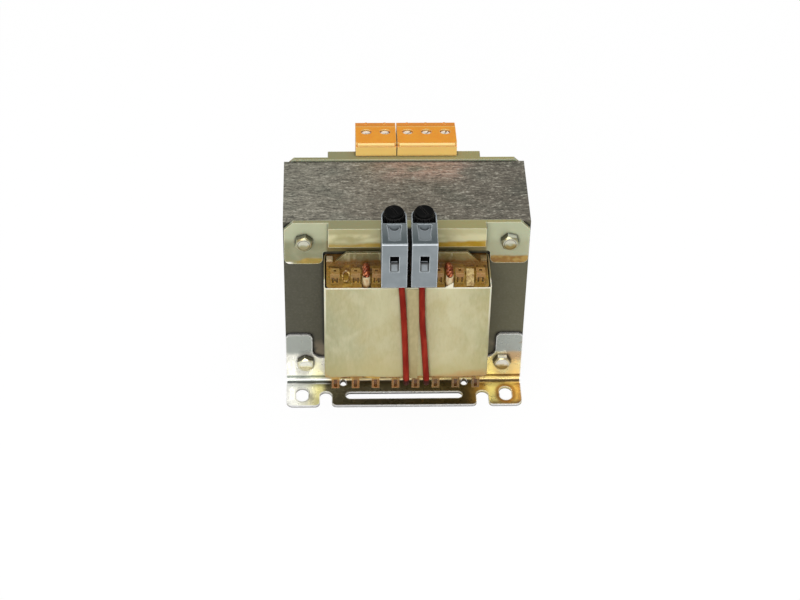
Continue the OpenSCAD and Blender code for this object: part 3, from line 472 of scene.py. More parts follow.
def strand_mesh(path, widths, spread, phase, twist, across=12):
    """Strand that winds round a path, closed at its ends."""
    last = len(path) - 1
    centres = [point + out[0] * away for point, out, away in zip(
        path, off_path(path, lambda i: [phase + twist * i / last]), spread)]
    rings = [[point + out * width / 2 for out in outs] for point, outs, width in zip(
        centres, off_path(centres, lambda i: turns(across)), widths)]
    verts, faces = shell_mesh(rings, closed=False)
    ends = [tuple(reversed(range(across))), tuple(range(last * across, (last + 1) * across))]
    return verts, faces + ends


def joined(*parts):
    """One mesh of several."""
    verts, faces = [], []
    for more_verts, more_faces in parts:
        start = len(verts)
        verts += more_verts
        faces += [tuple(start + v for v in face) for face in more_faces]
    return verts, faces


def bead_mesh(centre, radius, tube, stretch, around=40, across=10):
    """Closed bead round an upright oval."""
    rings = []
    for turn in turns(around):
        reach = Vector((math.cos(turn), 0, math.sin(turn) * stretch)) * radius
        out = Vector((math.cos(turn) * stretch, 0, math.sin(turn))).normalized()
        rings.append([centre + reach + tube * (out * math.cos(bend)
                                               + Vector((0, 1, 0)) * math.sin(bend))
                      for bend in turns(across)])
    return shell_mesh(rings)


def settings():
    return bpy.context.scene.chassis_transformer


# ---------------------------------------------------------------- operators


class TRANSFORMER_OT_core(Operator):
    """Varnished lamination stack with the edges of its sheets"""

    bl_idname = "transformer.core"
    bl_label = "Laminated core"

    def execute(self, context):
        look = settings().core
        f = Finish("varnished laminations", rough=0.5, metal=0.15)
        pitch = look.sheet_t / MM
        # Sheet edges run along X on top and along Z at the sides
        sheet = f.noise(pitch, 1, stretch=(30, 1, 30), seed=1)
        streak = f.noise(1.5, 2, stretch=(3.2, 0.8, 3.2), seed=2, rough=0.6)
        fleck = f.noise(0.85, 2, stretch=(1.7, 1, 1.7), seed=3, rough=0.6, warp=0.8)
        patch = f.noise(15, 2, stretch=(1.3, 0.8, 1.3), seed=4)
        grain = f.plus(f.times(streak, 0.45), f.times(fleck, 0.55))
        # The sheet edges are painted darker from left to right, as shade
        steel = f.shades(f.along(0), (
            (-60, look.edge_colour), (-5, look.middle_colour), (60, look.right_colour)))
        # Painted reflection of the orange blocks, pinkish and patchy, strongest on the top at the
        # rear
        rear = f.times(f.band(0, -12, 30, 8), f.step(1, 4, 19))
        steel = f.over(steel, look.block_reflection_colour, f.ramp(patch, 0.3, 0.52), f.plus(rear, 0.1, True))
        dark = f.times(f.ramp(grain, 0.52, 0.38), look.speckle)
        light = f.times(f.ramp(grain, 0.52, 0.66), look.speckle)
        steel = f.over(steel, (52, 50, 42), dark)
        steel = f.over(steel, (200, 196, 180), light)
        steel = f.over(steel, (70, 68, 56), f.ramp(sheet, 0.45, 0.3), 0.3)
        # The varnished face is painted lighter to the right, as painted light
        flat = f.shades(f.along(0), ((-60, look.face_colour), (60, look.face_right)))
        # A painted warm reflection in patches, low on the front face
        flat = f.over(flat, (146, 130, 108), f.band(2, 12, 27, 4),
                      f.patches(0.35, 0.6, 5, seed=9), 0.55)
        flat = f.over(flat, (126, 122, 106), f.patches(0.45, 0.75, 1.1, 3, seed=8), 0.14)
        front = f.ramp(f.flat_on(1), 0.6, 0.8)
        f.colour = f.blend(front, steel, flat)
        # Painted shade in corners and gaps, dark round the brackets' ears
        f.paint((10, 9, 7), f.crevice_shade(2, 0.6, 0.97), 0.96)
        rough = f.ramp(grain, 0.35, 0.65, 0.45, 0.65)
        relief = f.plus(f.times(sheet, 0.5), f.times(grain, 0.9))
        f.bump(f.times(relief, f.less(1, front)), 0.16, 0.9)
        dress(["core_e_laminations", "core_i_laminations"], f.done(rough))
        return {"FINISHED"}


class TRANSFORMER_OT_carriers(Operator):
    """Pale moulded terminal carriers with amber varnish in their lower edges"""

    bl_idname = "transformer.carriers"
    bl_label = "Terminal carriers"

    def execute(self, context):
        look = settings().plastic
        f = Finish("pale moulding", rough=0.36, Coat_Weight=0.15, Coat_Roughness=0.15,
                   Subsurface_Weight=0.1, Subsurface_Scale=0.004)
        low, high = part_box("front_terminal_carrier")
        top, foot = high.z / MM, low.z / MM
        cloud = f.noise(9, 3, seed=11, warp=0.4)
        rail = f.ramp(f.off(1), 28, 29.5)
        right = f.step(0, -40, 45)
        # The legs are paler above the bolts than below them
        leg = f.blend(right, look.leg_low, look.leg_right)
        leg = f.over(leg, look.carrier_colour, f.step(2, top - 13.5, top - 8.5))
        rail_skin = f.blend(right, look.rail_colour, look.rail_right)
        # Painted highlight: a patchy cream band along the middle of the rail
        cream_highlight = f.times(f.band(2, top - 8.2, top - 3.4, 1.2),
                        f.patches(0.36, 0.6, 6, 3, stretch=(1.6, 1, 1), seed=15))
        rail_skin = f.over(rail_skin, (214, 208, 164), cream_highlight, 0.9)
        f.colour = f.blend(rail, leg, rail_skin)
        f.paint((196, 194, 162), f.ramp(cloud, 0.42, 0.7), 0.25)
        # Upward faces are painted darker, as shade
        level = f.ramp(f.facing(2), 0.6, 0.9)
        f.paint(f.blend(right, (146, 143, 104), (160, 153, 102)), level)
        height = f.plus(f.along(2), f.drift(f.noise(7, 2, seed=12), 2.4))
        # Varnish stands along the lower edge of the rail, deeper to the right
        rail_low = top - 11.4
        depth = f.plus(f.times(right, 2), 1.5)
        above = f.less(f.less(height, rail_low), depth)
        on_rail = f.times(rail, f.ramp(above, 1.2, -0.6), f.step(0, -44, 14, 0.6, 1))
        # and along the foot of each leg
        reach = f.plus(f.step(0, -53, -48, 2.2, 3.6), f.step(0, -10, 10, 0, 1))
        on_leg = f.ramp(f.less(f.less(height, foot), reach), 1, -0.6)
        on_leg = f.times(on_leg, f.less(1, rail), f.step(0, -56, -50, 0.25, 1))
        amber = f.calc("MAXIMUM", on_rail, on_leg)
        leg_amber = f.blend(right, (160, 134, 50), (142, 100, 18))
        deep = f.blend(rail, leg_amber, look.amber_colour)
        deep = f.over(deep, (190, 160, 80), f.patches(0.4, 0.65, 3.5, seed=13), 0.5)
        # The bar under the rail is painted darker brown
        darker_under_rail = f.times(f.band(2, rail_low - 9, rail_low + 0.3, 0.5), f.ramp(f.off(0), 39.6, 38.2),
                       f.less(1, rail))
        f.paint((112, 98, 54), darker_under_rail, 0.8)
        f.paint(deep, amber)
        # Painted highlight along the edges, weaker on the bar under the rail
        f.paint((232, 232, 200), f.edges(0.7), f.less(0.75, darker_under_rail, True))
        # A painted glint at the foot of the left leg
        f.paint((255, 255, 245), f.band(0, -60, -56, 1.5), f.step(2, foot + 1.6, foot + 0.9))
        # Painted shade in corners and gaps
        f.paint((30, 27, 14), f.crevice_shade(1.8, 0.4, 0.85), 0.85)
        f.paint((4, 4, 3), f.gap_shade())
        f.bump(f.noise(2.4, 2, seed=14), 0.05)
        rough = f.ramp(amber, 0, 1, 0.38, 0.18)
        dress(["front_terminal_carrier", "rear_terminal_carrier"], f.done(rough), look.edge_round)
        return {"FINISHED"}


class TRANSFORMER_OT_bobbin(Operator):
    """Amber bobbin, mottled with darker varnish, with painted shade in its corners"""

    bl_idname = "transformer.bobbin"
    bl_label = "Bobbin"

    def execute(self, context):
        look = settings().plastic
        low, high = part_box("outer_wrap")
        flange, below = high.z / MM, low.z / MM
        f = Finish("varnished bobbin", rough=0.3, Coat_Weight=0.3, Coat_Roughness=0.12,
                   Subsurface_Weight=0.12, Subsurface_Scale=0.003)
        deep = f.off(1)
        pool = f.mottle(look.bobbin_colour, look.bobbin_dark, 0.44, 0.66, 3.2, 3, seed=21,
                        warp=0.8)
        f.paint((182, 142, 58), f.patches(0.5, 0.68, 4.5, seed=22))
        # Above the flange: pinkish heads on the pockets, yellow varnish at their feet
        head = f.times(f.step(2, flange + 3.6, flange + 4.2), f.ramp(deep, 38, 41))
        f.paint(f.sweep(-36, -10, (148, 114, 50), (150, 106, 52)), head, 0.8)
        foot = f.times(f.band(2, flange - 0.2, flange + 1.6, 0.5), f.ramp(deep, 38, 41))
        f.paint((172, 138, 52), foot, 0.6)
        # The standing wall is paler, amber at its foot
        wall = f.times(f.ramp(deep, 33.2, 31.6), f.step(2, flange - 0.6, flange))
        rise = f.plus(f.along(2), f.times(f.noise(5, 2, seed=26), 5))
        pale = f.sweep(-30, 30, (134, 128, 92), (152, 138, 92))
        pale = f.over(pale, (176, 170, 132), f.patches(0.52, 0.66, 3.2, stretch=(0.6, 1, 2.5),
                                                       seed=25))
        skin = f.blend(f.ramp(rise, flange + 5.4, flange + 3.4), pale, (146, 106, 50))
        f.paint(skin, wall, 0.9)
        lug = f.times(f.ramp(f.off(0), 35.4, 36), f.band(1, -30.2, -26.4, 0.3),
                      f.step(2, flange + 0.1, flange + 0.5))
        f.paint(f.sweep(-5, 5, (206, 186, 150), (152, 130, 88)), lug)
        under = f.step(2, below - 0.5, below - 1.4)
        side = f.sweep(-20, 25, (134, 82, 28), (104, 70, 28))
        f.paint(side, under, 0.85)
        # Painted shade deep inside the lower pockets
        f.paint((74, 32, 10), under, f.crevice_shade(2.6, 0.5, 0.9), 0.75)
        # Painted highlights along the edges, and on the top edge of the standing wall
        f.paint((206, 178, 104), f.edges(0.4), 0.6)
        f.paint((226, 216, 176), f.edges(0.7), wall, f.step(2, flange + 3.5, flange + 5))
        # Painted shade in corners and gaps
        f.paint((96, 58, 12), f.crevice_shade(1.6, 0.3, 0.75), 0.7)
        f.paint((4, 4, 3), f.gap_shade())
        f.bump(pool, 0.15)
        dress(["bobbin"], f.done(f.ramp(pool, 0.4, 0.7, 0.34, 0.14)), 0.15 * MM, 1)
        # A loop of varnish between the two pockets at the left end
        b = Finish("varnish bead", rough=0.15, Coat_Weight=0.6)
        b.mottle((206, 172, 100), (104, 70, 26), 0.4, 0.6, 1.2, 2, seed=27)
        centre = Vector((-29.7, -44.9, flange + 3.9)) * MM
        add_piece("varnish_loop", bead_mesh(centre, 1.7 * MM, 0.5 * MM, 1.9), b.done())
        return {"FINISHED"}


class TRANSFORMER_OT_windings(Operator):
    """Enamelled copper windings with the insulation between them"""

    bl_idname = "transformer.windings"
    bl_label = "Windings"

    def execute(self, context):
        look = settings().coil
        f = Finish("enamelled windings", rough=0.28, metal=0.85, Coat_Weight=0.5)
        turn = f.calc("SINE", f.times(f.along(2), math.tau / (look.wire_d / MM)))
        f.colour = f.blend(f.ramp(turn, -1, 0.2), (66, 24, 10), look.copper_colour)
        f.paint((190, 108, 60), f.patches(0.4, 0.7, 9, seed=31))
        f.bump(turn, 0.3, 0.8)
        dress(["primary_winding", "secondary_winding"], f.done())
        p = Finish("layer insulation", rough=0.7)
        p.bump(p.mottle(look.paper_colour, (186, 164, 118), 0.35, 0.7, 1.2, 3,
                        stretch=(6, 6, 1), seed=32), 0.05)
        dress(["interlayer_insulation"], p.done())
        return {"FINISHED"}


class TRANSFORMER_OT_wrap(Operator):
    """Fibre wrap round the coil, with its seam tape"""

    bl_idname = "transformer.wrap"
    bl_label = "Coil wrap"

    def outline(self, half_x, half_y, inset):
        """Points round the wrap from above, narrower where it passes the core."""
        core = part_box("core_e_laminations")[1].y + 0.6 * MM
        waist, step = half_x - 0.7 * MM - inset, 0.3 * MM
        x, y, r = half_x - inset, half_y - inset, 1.3 * MM - inset
        quarter = [(waist, 0), (waist, core - step), (x, core + step)]
        quarter += [(x, core + (y - r - core) * k / 4) for k in range(1, 4)]
        quarter += [(x - r + r * math.cos(a), y - r + r * math.sin(a))
                    for a in (math.pi / 2 * k / 6 for k in range(7))]
        quarter += [((x - r) * (1 - k / 16), y) for k in range(1, 17)]
        half = quarter + [(-px, py) for px, py in reversed(quarter[:-1])]
        return half + [(px, -py) for px, py in reversed(half[1:-1])]

    def execute(self, context):
        look = settings().coil
        low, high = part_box("outer_wrap")
        f = Finish("varnished fibre wrap", rough=0.55, Coat_Weight=0.08, Coat_Roughness=0.3,
                   Subsurface_Weight=0.08, Subsurface_Scale=0.003)
        cloud = f.noise(20, 3, stretch=(1, 1, 1.2), seed=41, warp=0.5)
        fibre = f.noise(1, 4, stretch=(1, 1, 3.5), seed=42, rough=0.65)
        across = f.along(0)
        # Painted sheen: brightest near the middle of each half, darker towards the ends
        wrap_with_painted_sheen = f.shades(across, ((-41, (159, 157, 120)), (-28, (172, 168, 130)),
                                  (-12, (186, 180, 140)), (-2, look.wrap_colour),
                                  (8, look.wrap_colour), (20, (193, 186, 145)),
                                  (32, (176, 170, 128)), (41, (162, 158, 114))))
        f.colour = f.blend(f.times(f.ramp(cloud, 0.36, 0.68), 0.55), wrap_with_painted_sheen, look.warm_colour)
        pale = f.ramp(f.noise(12, 2, stretch=(1, 1, 1.5), seed=46, warp=0.6), 0.46, 0.66)
        f.paint((208, 202, 166), pale, 0.3)
        f.paint((206, 200, 164), f.ramp(fibre, 0.4, 0.75), 0.22)
        f.paint((140, 130, 92), f.ramp(fibre, 0.45, 0.25), 0.2)
        # Varnish has yellowed the lower third and soaked in along the bottom
        rise = f.less(f.plus(f.along(2), f.drift(f.noise(6, 2, seed=43), 6)), low.z / MM)
        f.paint((174, 158, 94), f.ramp(rise, 24, 2, 0, 0.5))
        reach = f.calc("MAXIMUM", f.ramp(across, 4, 38, 0.6, 4.4),
                       f.ramp(across, -35, -40, 0.6, 3.4))
        soaked = f.ramp(f.less(rise, reach), 2.4, -1.6)
        f.paint(look.stain_colour, soaked, 0.8)
        deep = f.off(1)
        f.paint((150, 128, 76), f.ramp(deep, 43, 36, 0, 0.5))
        # The pale cut edge along the top at the front, and a painted highlight down the front
        # corners that fades downwards
        rim = f.calc("MAXIMUM", f.ramp(f.facing(2), 0.7, 0.9),
                     f.step(2, high.z / MM - 0.35, high.z / MM - 0.15, 0, 0.7))
        rim = f.times(rim, f.ramp(deep, 41.5, 44), f.ramp(f.off(0), 16, 21, 0.45, 1))
        corner = f.times(f.ramp(f.off(0), 39.2, 39.9), f.ramp(deep, 48.6, 49.3),
                         f.ramp(rise, 24, 50, 0, 0.8))
        # Painted shade in corners and gaps
        f.paint((92, 78, 44), f.crevice_shade(2), 0.7)
        f.paint(look.edge_colour, f.calc("MAXIMUM", rim, corner))
        f.bump(f.plus(f.times(fibre, 0.35), cloud), 0.3, 0.6)
        paper = f.done(f.ramp(soaked, 0, 1, 0.58, 0.35))
        dress(["outer_wrap"], paper)

        # Rings of (height, inset) up the outside of the skin and down its inside
        rings = ((1.3, 0.3), (1.6, 0.02), *((level, 0) for level in (3, 8, 18, 30, 42, 52, 57)),
                 (59.3, 0.02), (59.6, 0.08), *((level, 0.5) for level in (59.6, 42, 18, 1.3)))
        drawn_height = 59.4
        stretch = (high.z - low.z) / (drawn_height * MM)

        def ring(height, inset):
            # The lower edge waves a little
            wave = 0.35 * MM if height < 4 else 0
            return [Vector((x, y, low.z + height * MM * stretch
                            + wave * (math.sin(x * 210) + math.sin(y * 330 + 1) * 0.6)))
                    for x, y in self.outline(high.x, high.y, inset * MM)]

        skin = add_piece("coil_wrap", shell_mesh([ring(*item) for item in rings]), paper)
        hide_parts("outer_wrap")

        t = Finish("seam tape", rough=0.5, Coat_Weight=0.1)
        t.bump(t.mottle((168, 156, 110), (178, 165, 119), 0.35, 0.7, 1.6, stretch=(1, 1, 2),
                        seed=45), 0.03)
        t.paint((150, 128, 72), t.step(2, low.z / MM + 18, low.z / MM + 2, 0, 0.6))
        # Painted highlight along the tape's edges
        t.paint((206, 196, 156), t.edges(0.3), 0.5)
        dress(["wrap_tape"], t.done())
        return {"FINISHED"}


class TRANSFORMER_OT_leads(Operator):
    """Red leads, twisted copper lead-outs, sleeves and paper ends"""

    bl_idname = "transformer.leads"
    bl_label = "Leads"

    def execute(self, context):
        look = settings().coil
        f = Finish("red lead insulation", rough=0.5, Specular_IOR_Level=0.1)
        f.mottle(look.lead_colour, (150, 42, 24), 0.4, 0.7, 3, 3, stretch=(1, 1, 4), seed=51)
        # Painted shade in corners and gaps
        f.paint((60, 20, 10), f.crevice_shade(1.5), 0.7)
        # The bend under the coil lies in the shade
        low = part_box("red_lead_left")[0].z / MM
        f.paint((40, 20, 12), f.step(2, low + 5.9, low + 4.7, 0, 0.88))
        f.bump(f.noise(1.2, 2, stretch=(1, 1, 5), seed=52), 0.05, 0.4)
        red_leads = ("red_lead_left", "red_lead_right")
        dress(red_leads, f.done())
        for name in red_leads:
            for face in cad(name).data.polygons:
                face.use_smooth = True

        c = Finish("twisted copper", rough=0.3, metal=0.6, Coat_Weight=0.5)
        tone_and_glint_noise = c.mottle((132, 56, 26), look.copper_colour, 0.4, 0.62, 1.6, 3, seed=53)
        # Painted glints on the twisted copper
        c.paint((252, 204, 164), c.ramp(tone_and_glint_noise, 0.6, 0.72))
        # Painted shade between the strands
        c.paint((52, 18, 8), c.crevice_shade(0.9), 0.8)
        copper = c.done()
        p = Finish("paper sleeve", rough=0.62, Subsurface_Weight=0.1, Subsurface_Scale=0.001)
        p.bump(p.mottle((206, 188, 148), (176, 142, 96), 0.4, 0.7, 0.9, 3, stretch=(1, 1, 4),
                        seed=54), 0.06, 0.6)
        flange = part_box("outer_wrap")[1].z
        p.paint((150, 112, 60), p.step(2, flange / MM + 2.4, flange / MM + 0.2))
        paper = p.done()
        dress(["copper_lead_out_left", "copper_lead_out_right"], copper)
        dress(["lead_sleeves"], paper)

        # Fatter twisted pairs that rise out of taller sleeves and bend back, as (run, rise)
        bends = ((0, 5.2), (0.7, 6.6), (2.8, 7), (5.6, 6.2), (8.6, 4.5), (11.4, 2.4), (12.6, 0.2))
        start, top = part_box("lead_sleeves")[0].z, flange + 6 * MM
        walls = ((1.55, start), (1.85, start), (1.85, top - 0.1 * MM), (1.78, top), (1.62, top),
                 (1.55, top - 0.2 * MM))
        sleeves = []
        for name, way in (("copper_lead_out_left", -1), ("copper_lead_out_right", 1)):
            x = way * LEAD_OUT_ASIDE * MM
            strands = []
            for side in (-1, 1):
                back = side * LEAD_OUT_BACK * MM
                path = curve_points([Vector((x, back, start + 0.2 * MM))] + [
                    Vector((x, back - side * run * MM, flange + rise * MM))
                    for run, rise in bends], 12)
                grow = [min(1, max(0, (i - 10) / 12)) for i in range(len(path))]
                widths = [(1.36 + 0.5 * g) * MM for g in grow]
                spread = [(0.7 + 0.25 * g) * MM for g in grow]
                strands += [strand_mesh(path, widths, spread, phase, math.tau * 4.2)
                            for phase in (0.4, 0.4 + math.pi)]
                sleeves.append(shell_mesh([[
                    Vector((x + radius * MM * math.cos(a), back + radius * MM * math.sin(a),
                            height + (0.25 * MM * math.sin(a * 2 + x * 90)
                                      if height > flange else 0)))
                    for a in turns(28)] for radius, height in walls]))
            pair = add_piece(name.replace("copper", "twisted"), joined(*strands), copper)
            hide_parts(name)
        tubes = add_piece("paper_sleeves", joined(*sleeves), paper)
        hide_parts("lead_sleeves")

        s = Finish("strip of insulation", rough=0.55)
        s.mottle((192, 168, 108), (138, 106, 54), 0.4, 0.65, 1.6, 3, seed=55, warp=0.6)
        dress(["insulation_strip"], s.done())

        # Folded corner of paper standing on the flange beside the right sleeve
        w = Finish("folded paper", rough=0.6)
        w.colour = w.blend(w.noise(1.5, 2, seed=56), (240, 236, 216), (214, 204, 170))
        base = flange + 0.15 * MM
        rim = ((17.8, -49.5, 0), (21.7, -49.5, 0), (21.8, -49.45, 2.9), (20.1, -49.4, 1.8))
        flap = [Vector((x * MM, y * MM, base + z * MM)) for x, y, z in rim]
        fold = [point + Vector((0, 0.28 * MM, 0)) for point in flap]
        faces = [(0, 1, 2, 3), (7, 6, 5, 4)]
        faces += [(k, k + 4, (k + 1) % 4 + 4, (k + 1) % 4) for k in range(4)]
        add_piece("paper_corner", (flap + fold, faces), w.done(),
                  smooth=False)
        return {"FINISHED"}


class TRANSFORMER_OT_brackets(Operator):
    """Pressed sheet brackets in bright zinc that turns yellow to one side"""

    bl_idname = "transformer.brackets"
    bl_label = "Mounting brackets"

    def execute(self, context):
        look = settings().metal
        f = Finish("passivated zinc sheet", rough=0.3, metal=0.55)
        patch = f.noise(11, 3, stretch=(1, 1, 0.8), seed=61, warp=1)
        wander = f.drift(patch, 1)
        across = f.along(0)
        height = f.along(2)
        right = f.ramp(f.plus(f.ramp(across, -30, 46), wander), 0.3, 0.8)
        # Uprights with painted reflections: grey above, bright below, warm by the right ear
        face = f.blend(right, look.zinc_colour, look.gold_colour)
        face = f.over(face, (206, 176, 134), f.ramp(across, 46, 54), f.ramp(height, 12, 18))
        face = f.over(face, (172, 177, 170), f.ramp(f.plus(height, f.times(wander, 3)), 19.5,
                                                    22.5))
        # Foot: white to the left, brown to the right, painted dark between the slots as reflected
        # shade
        foot = f.shades(across, ((-60, (255, 255, 253)), (-52, (250, 250, 242)),
                                 (-43, (226, 218, 150)), (-39, (88, 82, 56)), (30, (80, 68, 36)),
                                 (40, (170, 132, 62)), (45, (255, 244, 164)),
                                 (55, (250, 220, 124)), (60, (224, 166, 80))))
        deep = f.off(1)
        foot = f.over(foot, (104, 72, 34), f.ramp(deep, 39.5, 42.6),
                      f.ramp(across, 38, 46, 0, 0.8))
        cloudy = f.calc("MINIMUM", f.ramp(across, 30, 44, 0.35, 0.12),
                        f.ramp(across, -46, -38, 0.05, 0.35))
        foot = f.over(foot, (60, 50, 30), f.ramp(patch, 0.42, 0.62), cloudy)
        # A darker ring round each fixing slot, grey to the left and brown to the right
        end = f.less(f.calc("ABSOLUTE", f.less(deep, SLOT_BACK)), SLOT_HALF_RUN)
        away = f.length(f.less(f.off(0), SLOT_ASIDE), f.calc("MAXIMUM", end, 0))
        ring = f.blend(f.ramp(across, -10, 10), f.ramp(away, 3.3, 4.2, 0.6, 0),
                       f.ramp(away, 4.2, 6.2, 0.85, 0))
        foot = f.over(foot, f.blend(f.ramp(across, -10, 10), (116, 118, 98), (158, 102, 34)), ring)
        level = f.times(f.ramp(f.flat_on(2), 0.6, 0.85), f.ramp(height, 9, 6))
        f.colour = f.blend(level, face, foot)
        # Painted reflections: dark and bright lines along the hollow of the fold between them
        place = f.plus(f.less(f.off(1), WEB_FACE), f.less(FOLD_HEIGHT, height))
        left = f.shades(place, ((0, (244, 244, 236)), (0.8, (118, 128, 118)),
                                (1.7, (112, 122, 112)), (2.6, (244, 245, 238)),
                                (3.4, (238, 240, 232)), (4.2, (66, 76, 70)), (5.7, (58, 66, 60)),
                                (6.8, (246, 246, 240))))
        gold = f.shades(place, ((0, (246, 224, 156)), (0.8, (104, 70, 16)), (1.6, (100, 66, 14)),
                                (2.5, (252, 230, 156)), (3.3, (244, 216, 134)),
                                (4.2, (82, 54, 12)), (5.7, (66, 42, 8)), (6.8, (236, 196, 106))))
        middle = f.shades(place, ((0, (150, 134, 84)), (2.6, (190, 172, 108)),
                                  (3.6, (150, 130, 78)), (4.6, (70, 56, 30)), (6.8, (80, 70, 42))))
        fold_reflections = f.blend(f.ramp(across, 34, 40), middle, gold)
        fold_reflections = f.over(fold_reflections, left, f.ramp(across, -36, -42))
        f.paint(fold_reflections, f.ramp(place, 0, 0.5), f.ramp(place, 7.2, 6.4), 0.92)
        stain = f.ramp(f.noise(3.4, 3, seed=62, warp=1.2), 0.62, 0.72)
        stain = f.times(stain, f.ramp(across, -20, 30, 0.1, 0.5))
        f.paint((140, 100, 44), stain)
        # Painted highlight along the edges
        f.paint((252, 252, 248), f.edges(0.9, 0.006, 0.08), 0.85)
        # Far wall of the long slot painted bright as lit, with a painted shadow line at the floor
        slot_wall_light_and_shadow = f.times(f.ramp(f.flat_on(1), 0.6, 0.85), f.band(1, -34.6, -33.2, 0.2),
                       f.ramp(f.off(0), 31, 30))
        f.paint(f.blend(f.ramp(height, 0.5, 0.8), (44, 42, 34), (255, 255, 252)), slot_wall_light_and_shadow)
        # Cut edges of the ears and the front of the foot: bare steel, painted white as a highlight
        cut = f.times(f.ramp(f.facing(2), 0.5, 0.8), f.ramp(height, 12, 16))
        front = f.times(f.ramp(f.flat_on(1), 0.6, 0.85), f.ramp(height, 2.4, 1.7),
                        f.ramp(deep, 42.5, 43))
        f.paint((255, 255, 255), f.calc("MAXIMUM", cut, front))
        # Painted shade in corners and gaps
        f.paint((26, 21, 10), f.crevice_shade(1.8, 0.45, 0.93), 0.9)
        rough = f.ramp(f.noise(7, 3, seed=63), 0.35, 0.7, 0.24, 0.38)
        f.bump(f.noise(4.5, 2, seed=64), 0.08, 0.3)
        dress(["front_mounting_bracket", "rear_mounting_bracket"], f.done(rough), look.edge_round)
        return {"FINISHED"}


class TRANSFORMER_OT_bolts(Operator):
    """Clamp bolts with their sleeves, washers and nuts"""

    bl_idname = "transformer.bolts"
    bl_label = "Clamp bolts"

    def execute(self, context):
        look = settings().metal
        f = Finish("plated bolts", rough=0.28, metal=0.6)
        patch = f.noise(2.6, 2, seed=71, warp=0.6)
        # The lower heads are painted brighter than the upper ones, as painted light; the lower
        # ones turn yellower to the right
        lower = f.sweep(-20, 20, look.bolt_colour, (214, 200, 156))
        f.colour = f.blend(f.step(2, 40, 70), lower, look.bolt_upper)
        f.paint((190, 160, 92), f.ramp(patch, 0.52, 0.66), 0.5)
        # Painted highlight along the edges
        f.paint((252, 251, 240), f.edges(0.45), 0.8)
        # Painted reflections: dark flats but a bright top one, ends bright above and yellow below
        flank = f.ramp(f.flat_on(1), 0.8, 0.4)
        f.paint((34, 31, 18), flank, f.step(2, 40, 60, 0.86, 0.7))
        f.paint((255, 255, 250), flank, f.ramp(f.facing(2), 0.93, 0.98), 0.9)
        end = f.ramp(f.flat_on(1), 0.88, 0.96)
        rise = f.less(f.calc("MODULO", f.along(2), BOLT_RISE), BOLT_LOW)
        place = f.plus(rise, f.drift(f.noise(1.6, 2, seed=74), 3))
        f.paint((255, 255, 248), end, f.ramp(place, -0.4, 0.8, 0, 0.85),
                f.step(2, 40, 60, 1, 0.45))
        f.paint((146, 118, 48), end, f.ramp(place, -0.3, -1.3), f.step(0, -20, 20, 0.4, 0.85))
        # A dark ring of painted shade round the end of each head
        away = f.length(f.less(f.off(0), BOLT_ASIDE), rise)
        f.paint((64, 60, 42), f.ramp(away, 2.5, 2.8), f.ramp(away, 3.2, 2.9), end,
                f.step(2, 40, 60, 0.25, 0.7))
        # Painted shade in corners and gaps
        f.paint((30, 27, 16), f.crevice_shade(2, 0.4, 0.85), 0.9)
        f.bump(f.noise(1.4, 2, seed=72), 0.06)
        dress(["clamp_bolts", "nut_washers", "clamp_nuts"], f.done(), 0.18 * MM, angle=25)
        s = Finish("sleeve fibre", rough=0.6)
        s.mottle((196, 178, 130), (160, 138, 92), 0.4, 0.7, 1, 3, stretch=(1, 6, 1), seed=73)
        dress(["bolt_sleeves"], s.done())
        return {"FINISHED"}


class TRANSFORMER_OT_blocks(Operator):
    """Orange screw terminal blocks"""

    bl_idname = "transformer.blocks"
    bl_label = "Terminal blocks"

    def execute(self, context):
        look = settings().plastic
        f = Finish("orange moulding", rough=0.32, Coat_Weight=0.2, Coat_Roughness=0.2,
                   Subsurface_Weight=0.08, Subsurface_Scale=0.002)
        cloud = f.noise(6, 3, seed=81)
        f.colour = f.blend(f.times(f.ramp(cloud, 0.35, 0.7), 0.6), look.block_colour,
                           (250, 154, 20))
        back = f.step(1, 45, 45.6)
        f.paint((240, 146, 36), back, 0.8)
        # A painted highlight along the crease before the rear strip
        f.paint((255, 208, 124), f.band(1, 44.4, 45.1, 0.2), 0.6)
        # Front faces painted paler orange, as lit
        f.paint(look.block_lit_front, f.ramp(f.flat_on(1), 0.6, 0.85))
        # Painted highlight along the edges
        f.paint((255, 224, 160), f.edges(0.4), 0.8)
        # Painted shade in corners and gaps
        f.paint((150, 70, 16), f.crevice_shade(2), 0.75)
        f.bump(f.noise(0.35, 2, seed=82), 0.02)
        dress(["terminal_block_2_pole", "terminal_block_3_pole"], f.done(), 0.25 * MM)
        return {"FINISHED"}


class TRANSFORMER_OT_clamps(Operator):
    """Nickel plated screws and clamps, and the fuses with their contacts"""

    bl_idname = "transformer.clamps"
    bl_label = "Screws and clamps"

    def execute(self, context):
        look = settings().metal
        f = Finish("nickel plate", rough=0.25, metal=1)
        f.bump(f.mottle(look.nickel_colour, (190, 184, 170), 0.4, 0.7, 1.1, 3,
                        stretch=(1, 1, 0.4), seed=91), 0.03, 0.4)
        dress(["terminal_clamps", "fuse_wire_screws"], f.done())
        # In the wire pockets the clamps are painted black as shade, with one painted highlight in
        # front
        d = Finish("clamp steel in painted shade", rough=0.5)
        lit_lip = d.times(d.band(2, 100.6, 101.2, 0.1), d.ramp(d.off_middle(), 1.7, 1.4))
        d.colour = d.blend(lit_lip, (9, 10, 11), (228, 232, 234))
        dress(["fuse_wire_clamps"], d.done())
        # Screw heads painted near white for their shine, with painted shade in their slots
        h = Finish("bright screw heads", rough=0.3, metal=0.25)
        h.colour = h.blend(h.crevice_shade(0.8, 0.3, 0.7), (255, 252, 244), (90, 74, 56))
        dress(["terminal_screws"], h.done())
        b = Finish("contact brass", rough=0.3, metal=1)
        b.mottle(look.brass_colour, (150, 116, 58), 0.4, 0.7, 2, 3, seed=92)
        dress(["fuse_contacts"], b.done())
        g = Finish("fuse glass", rough=0.08, Coat_Weight=0.5)
        g.mottle((206, 212, 212), (176, 184, 186), 0.3, 0.7, 1.5, 2, seed=93)
        dress(["fuse_left", "fuse_right"], g.done())
        return {"FINISHED"}


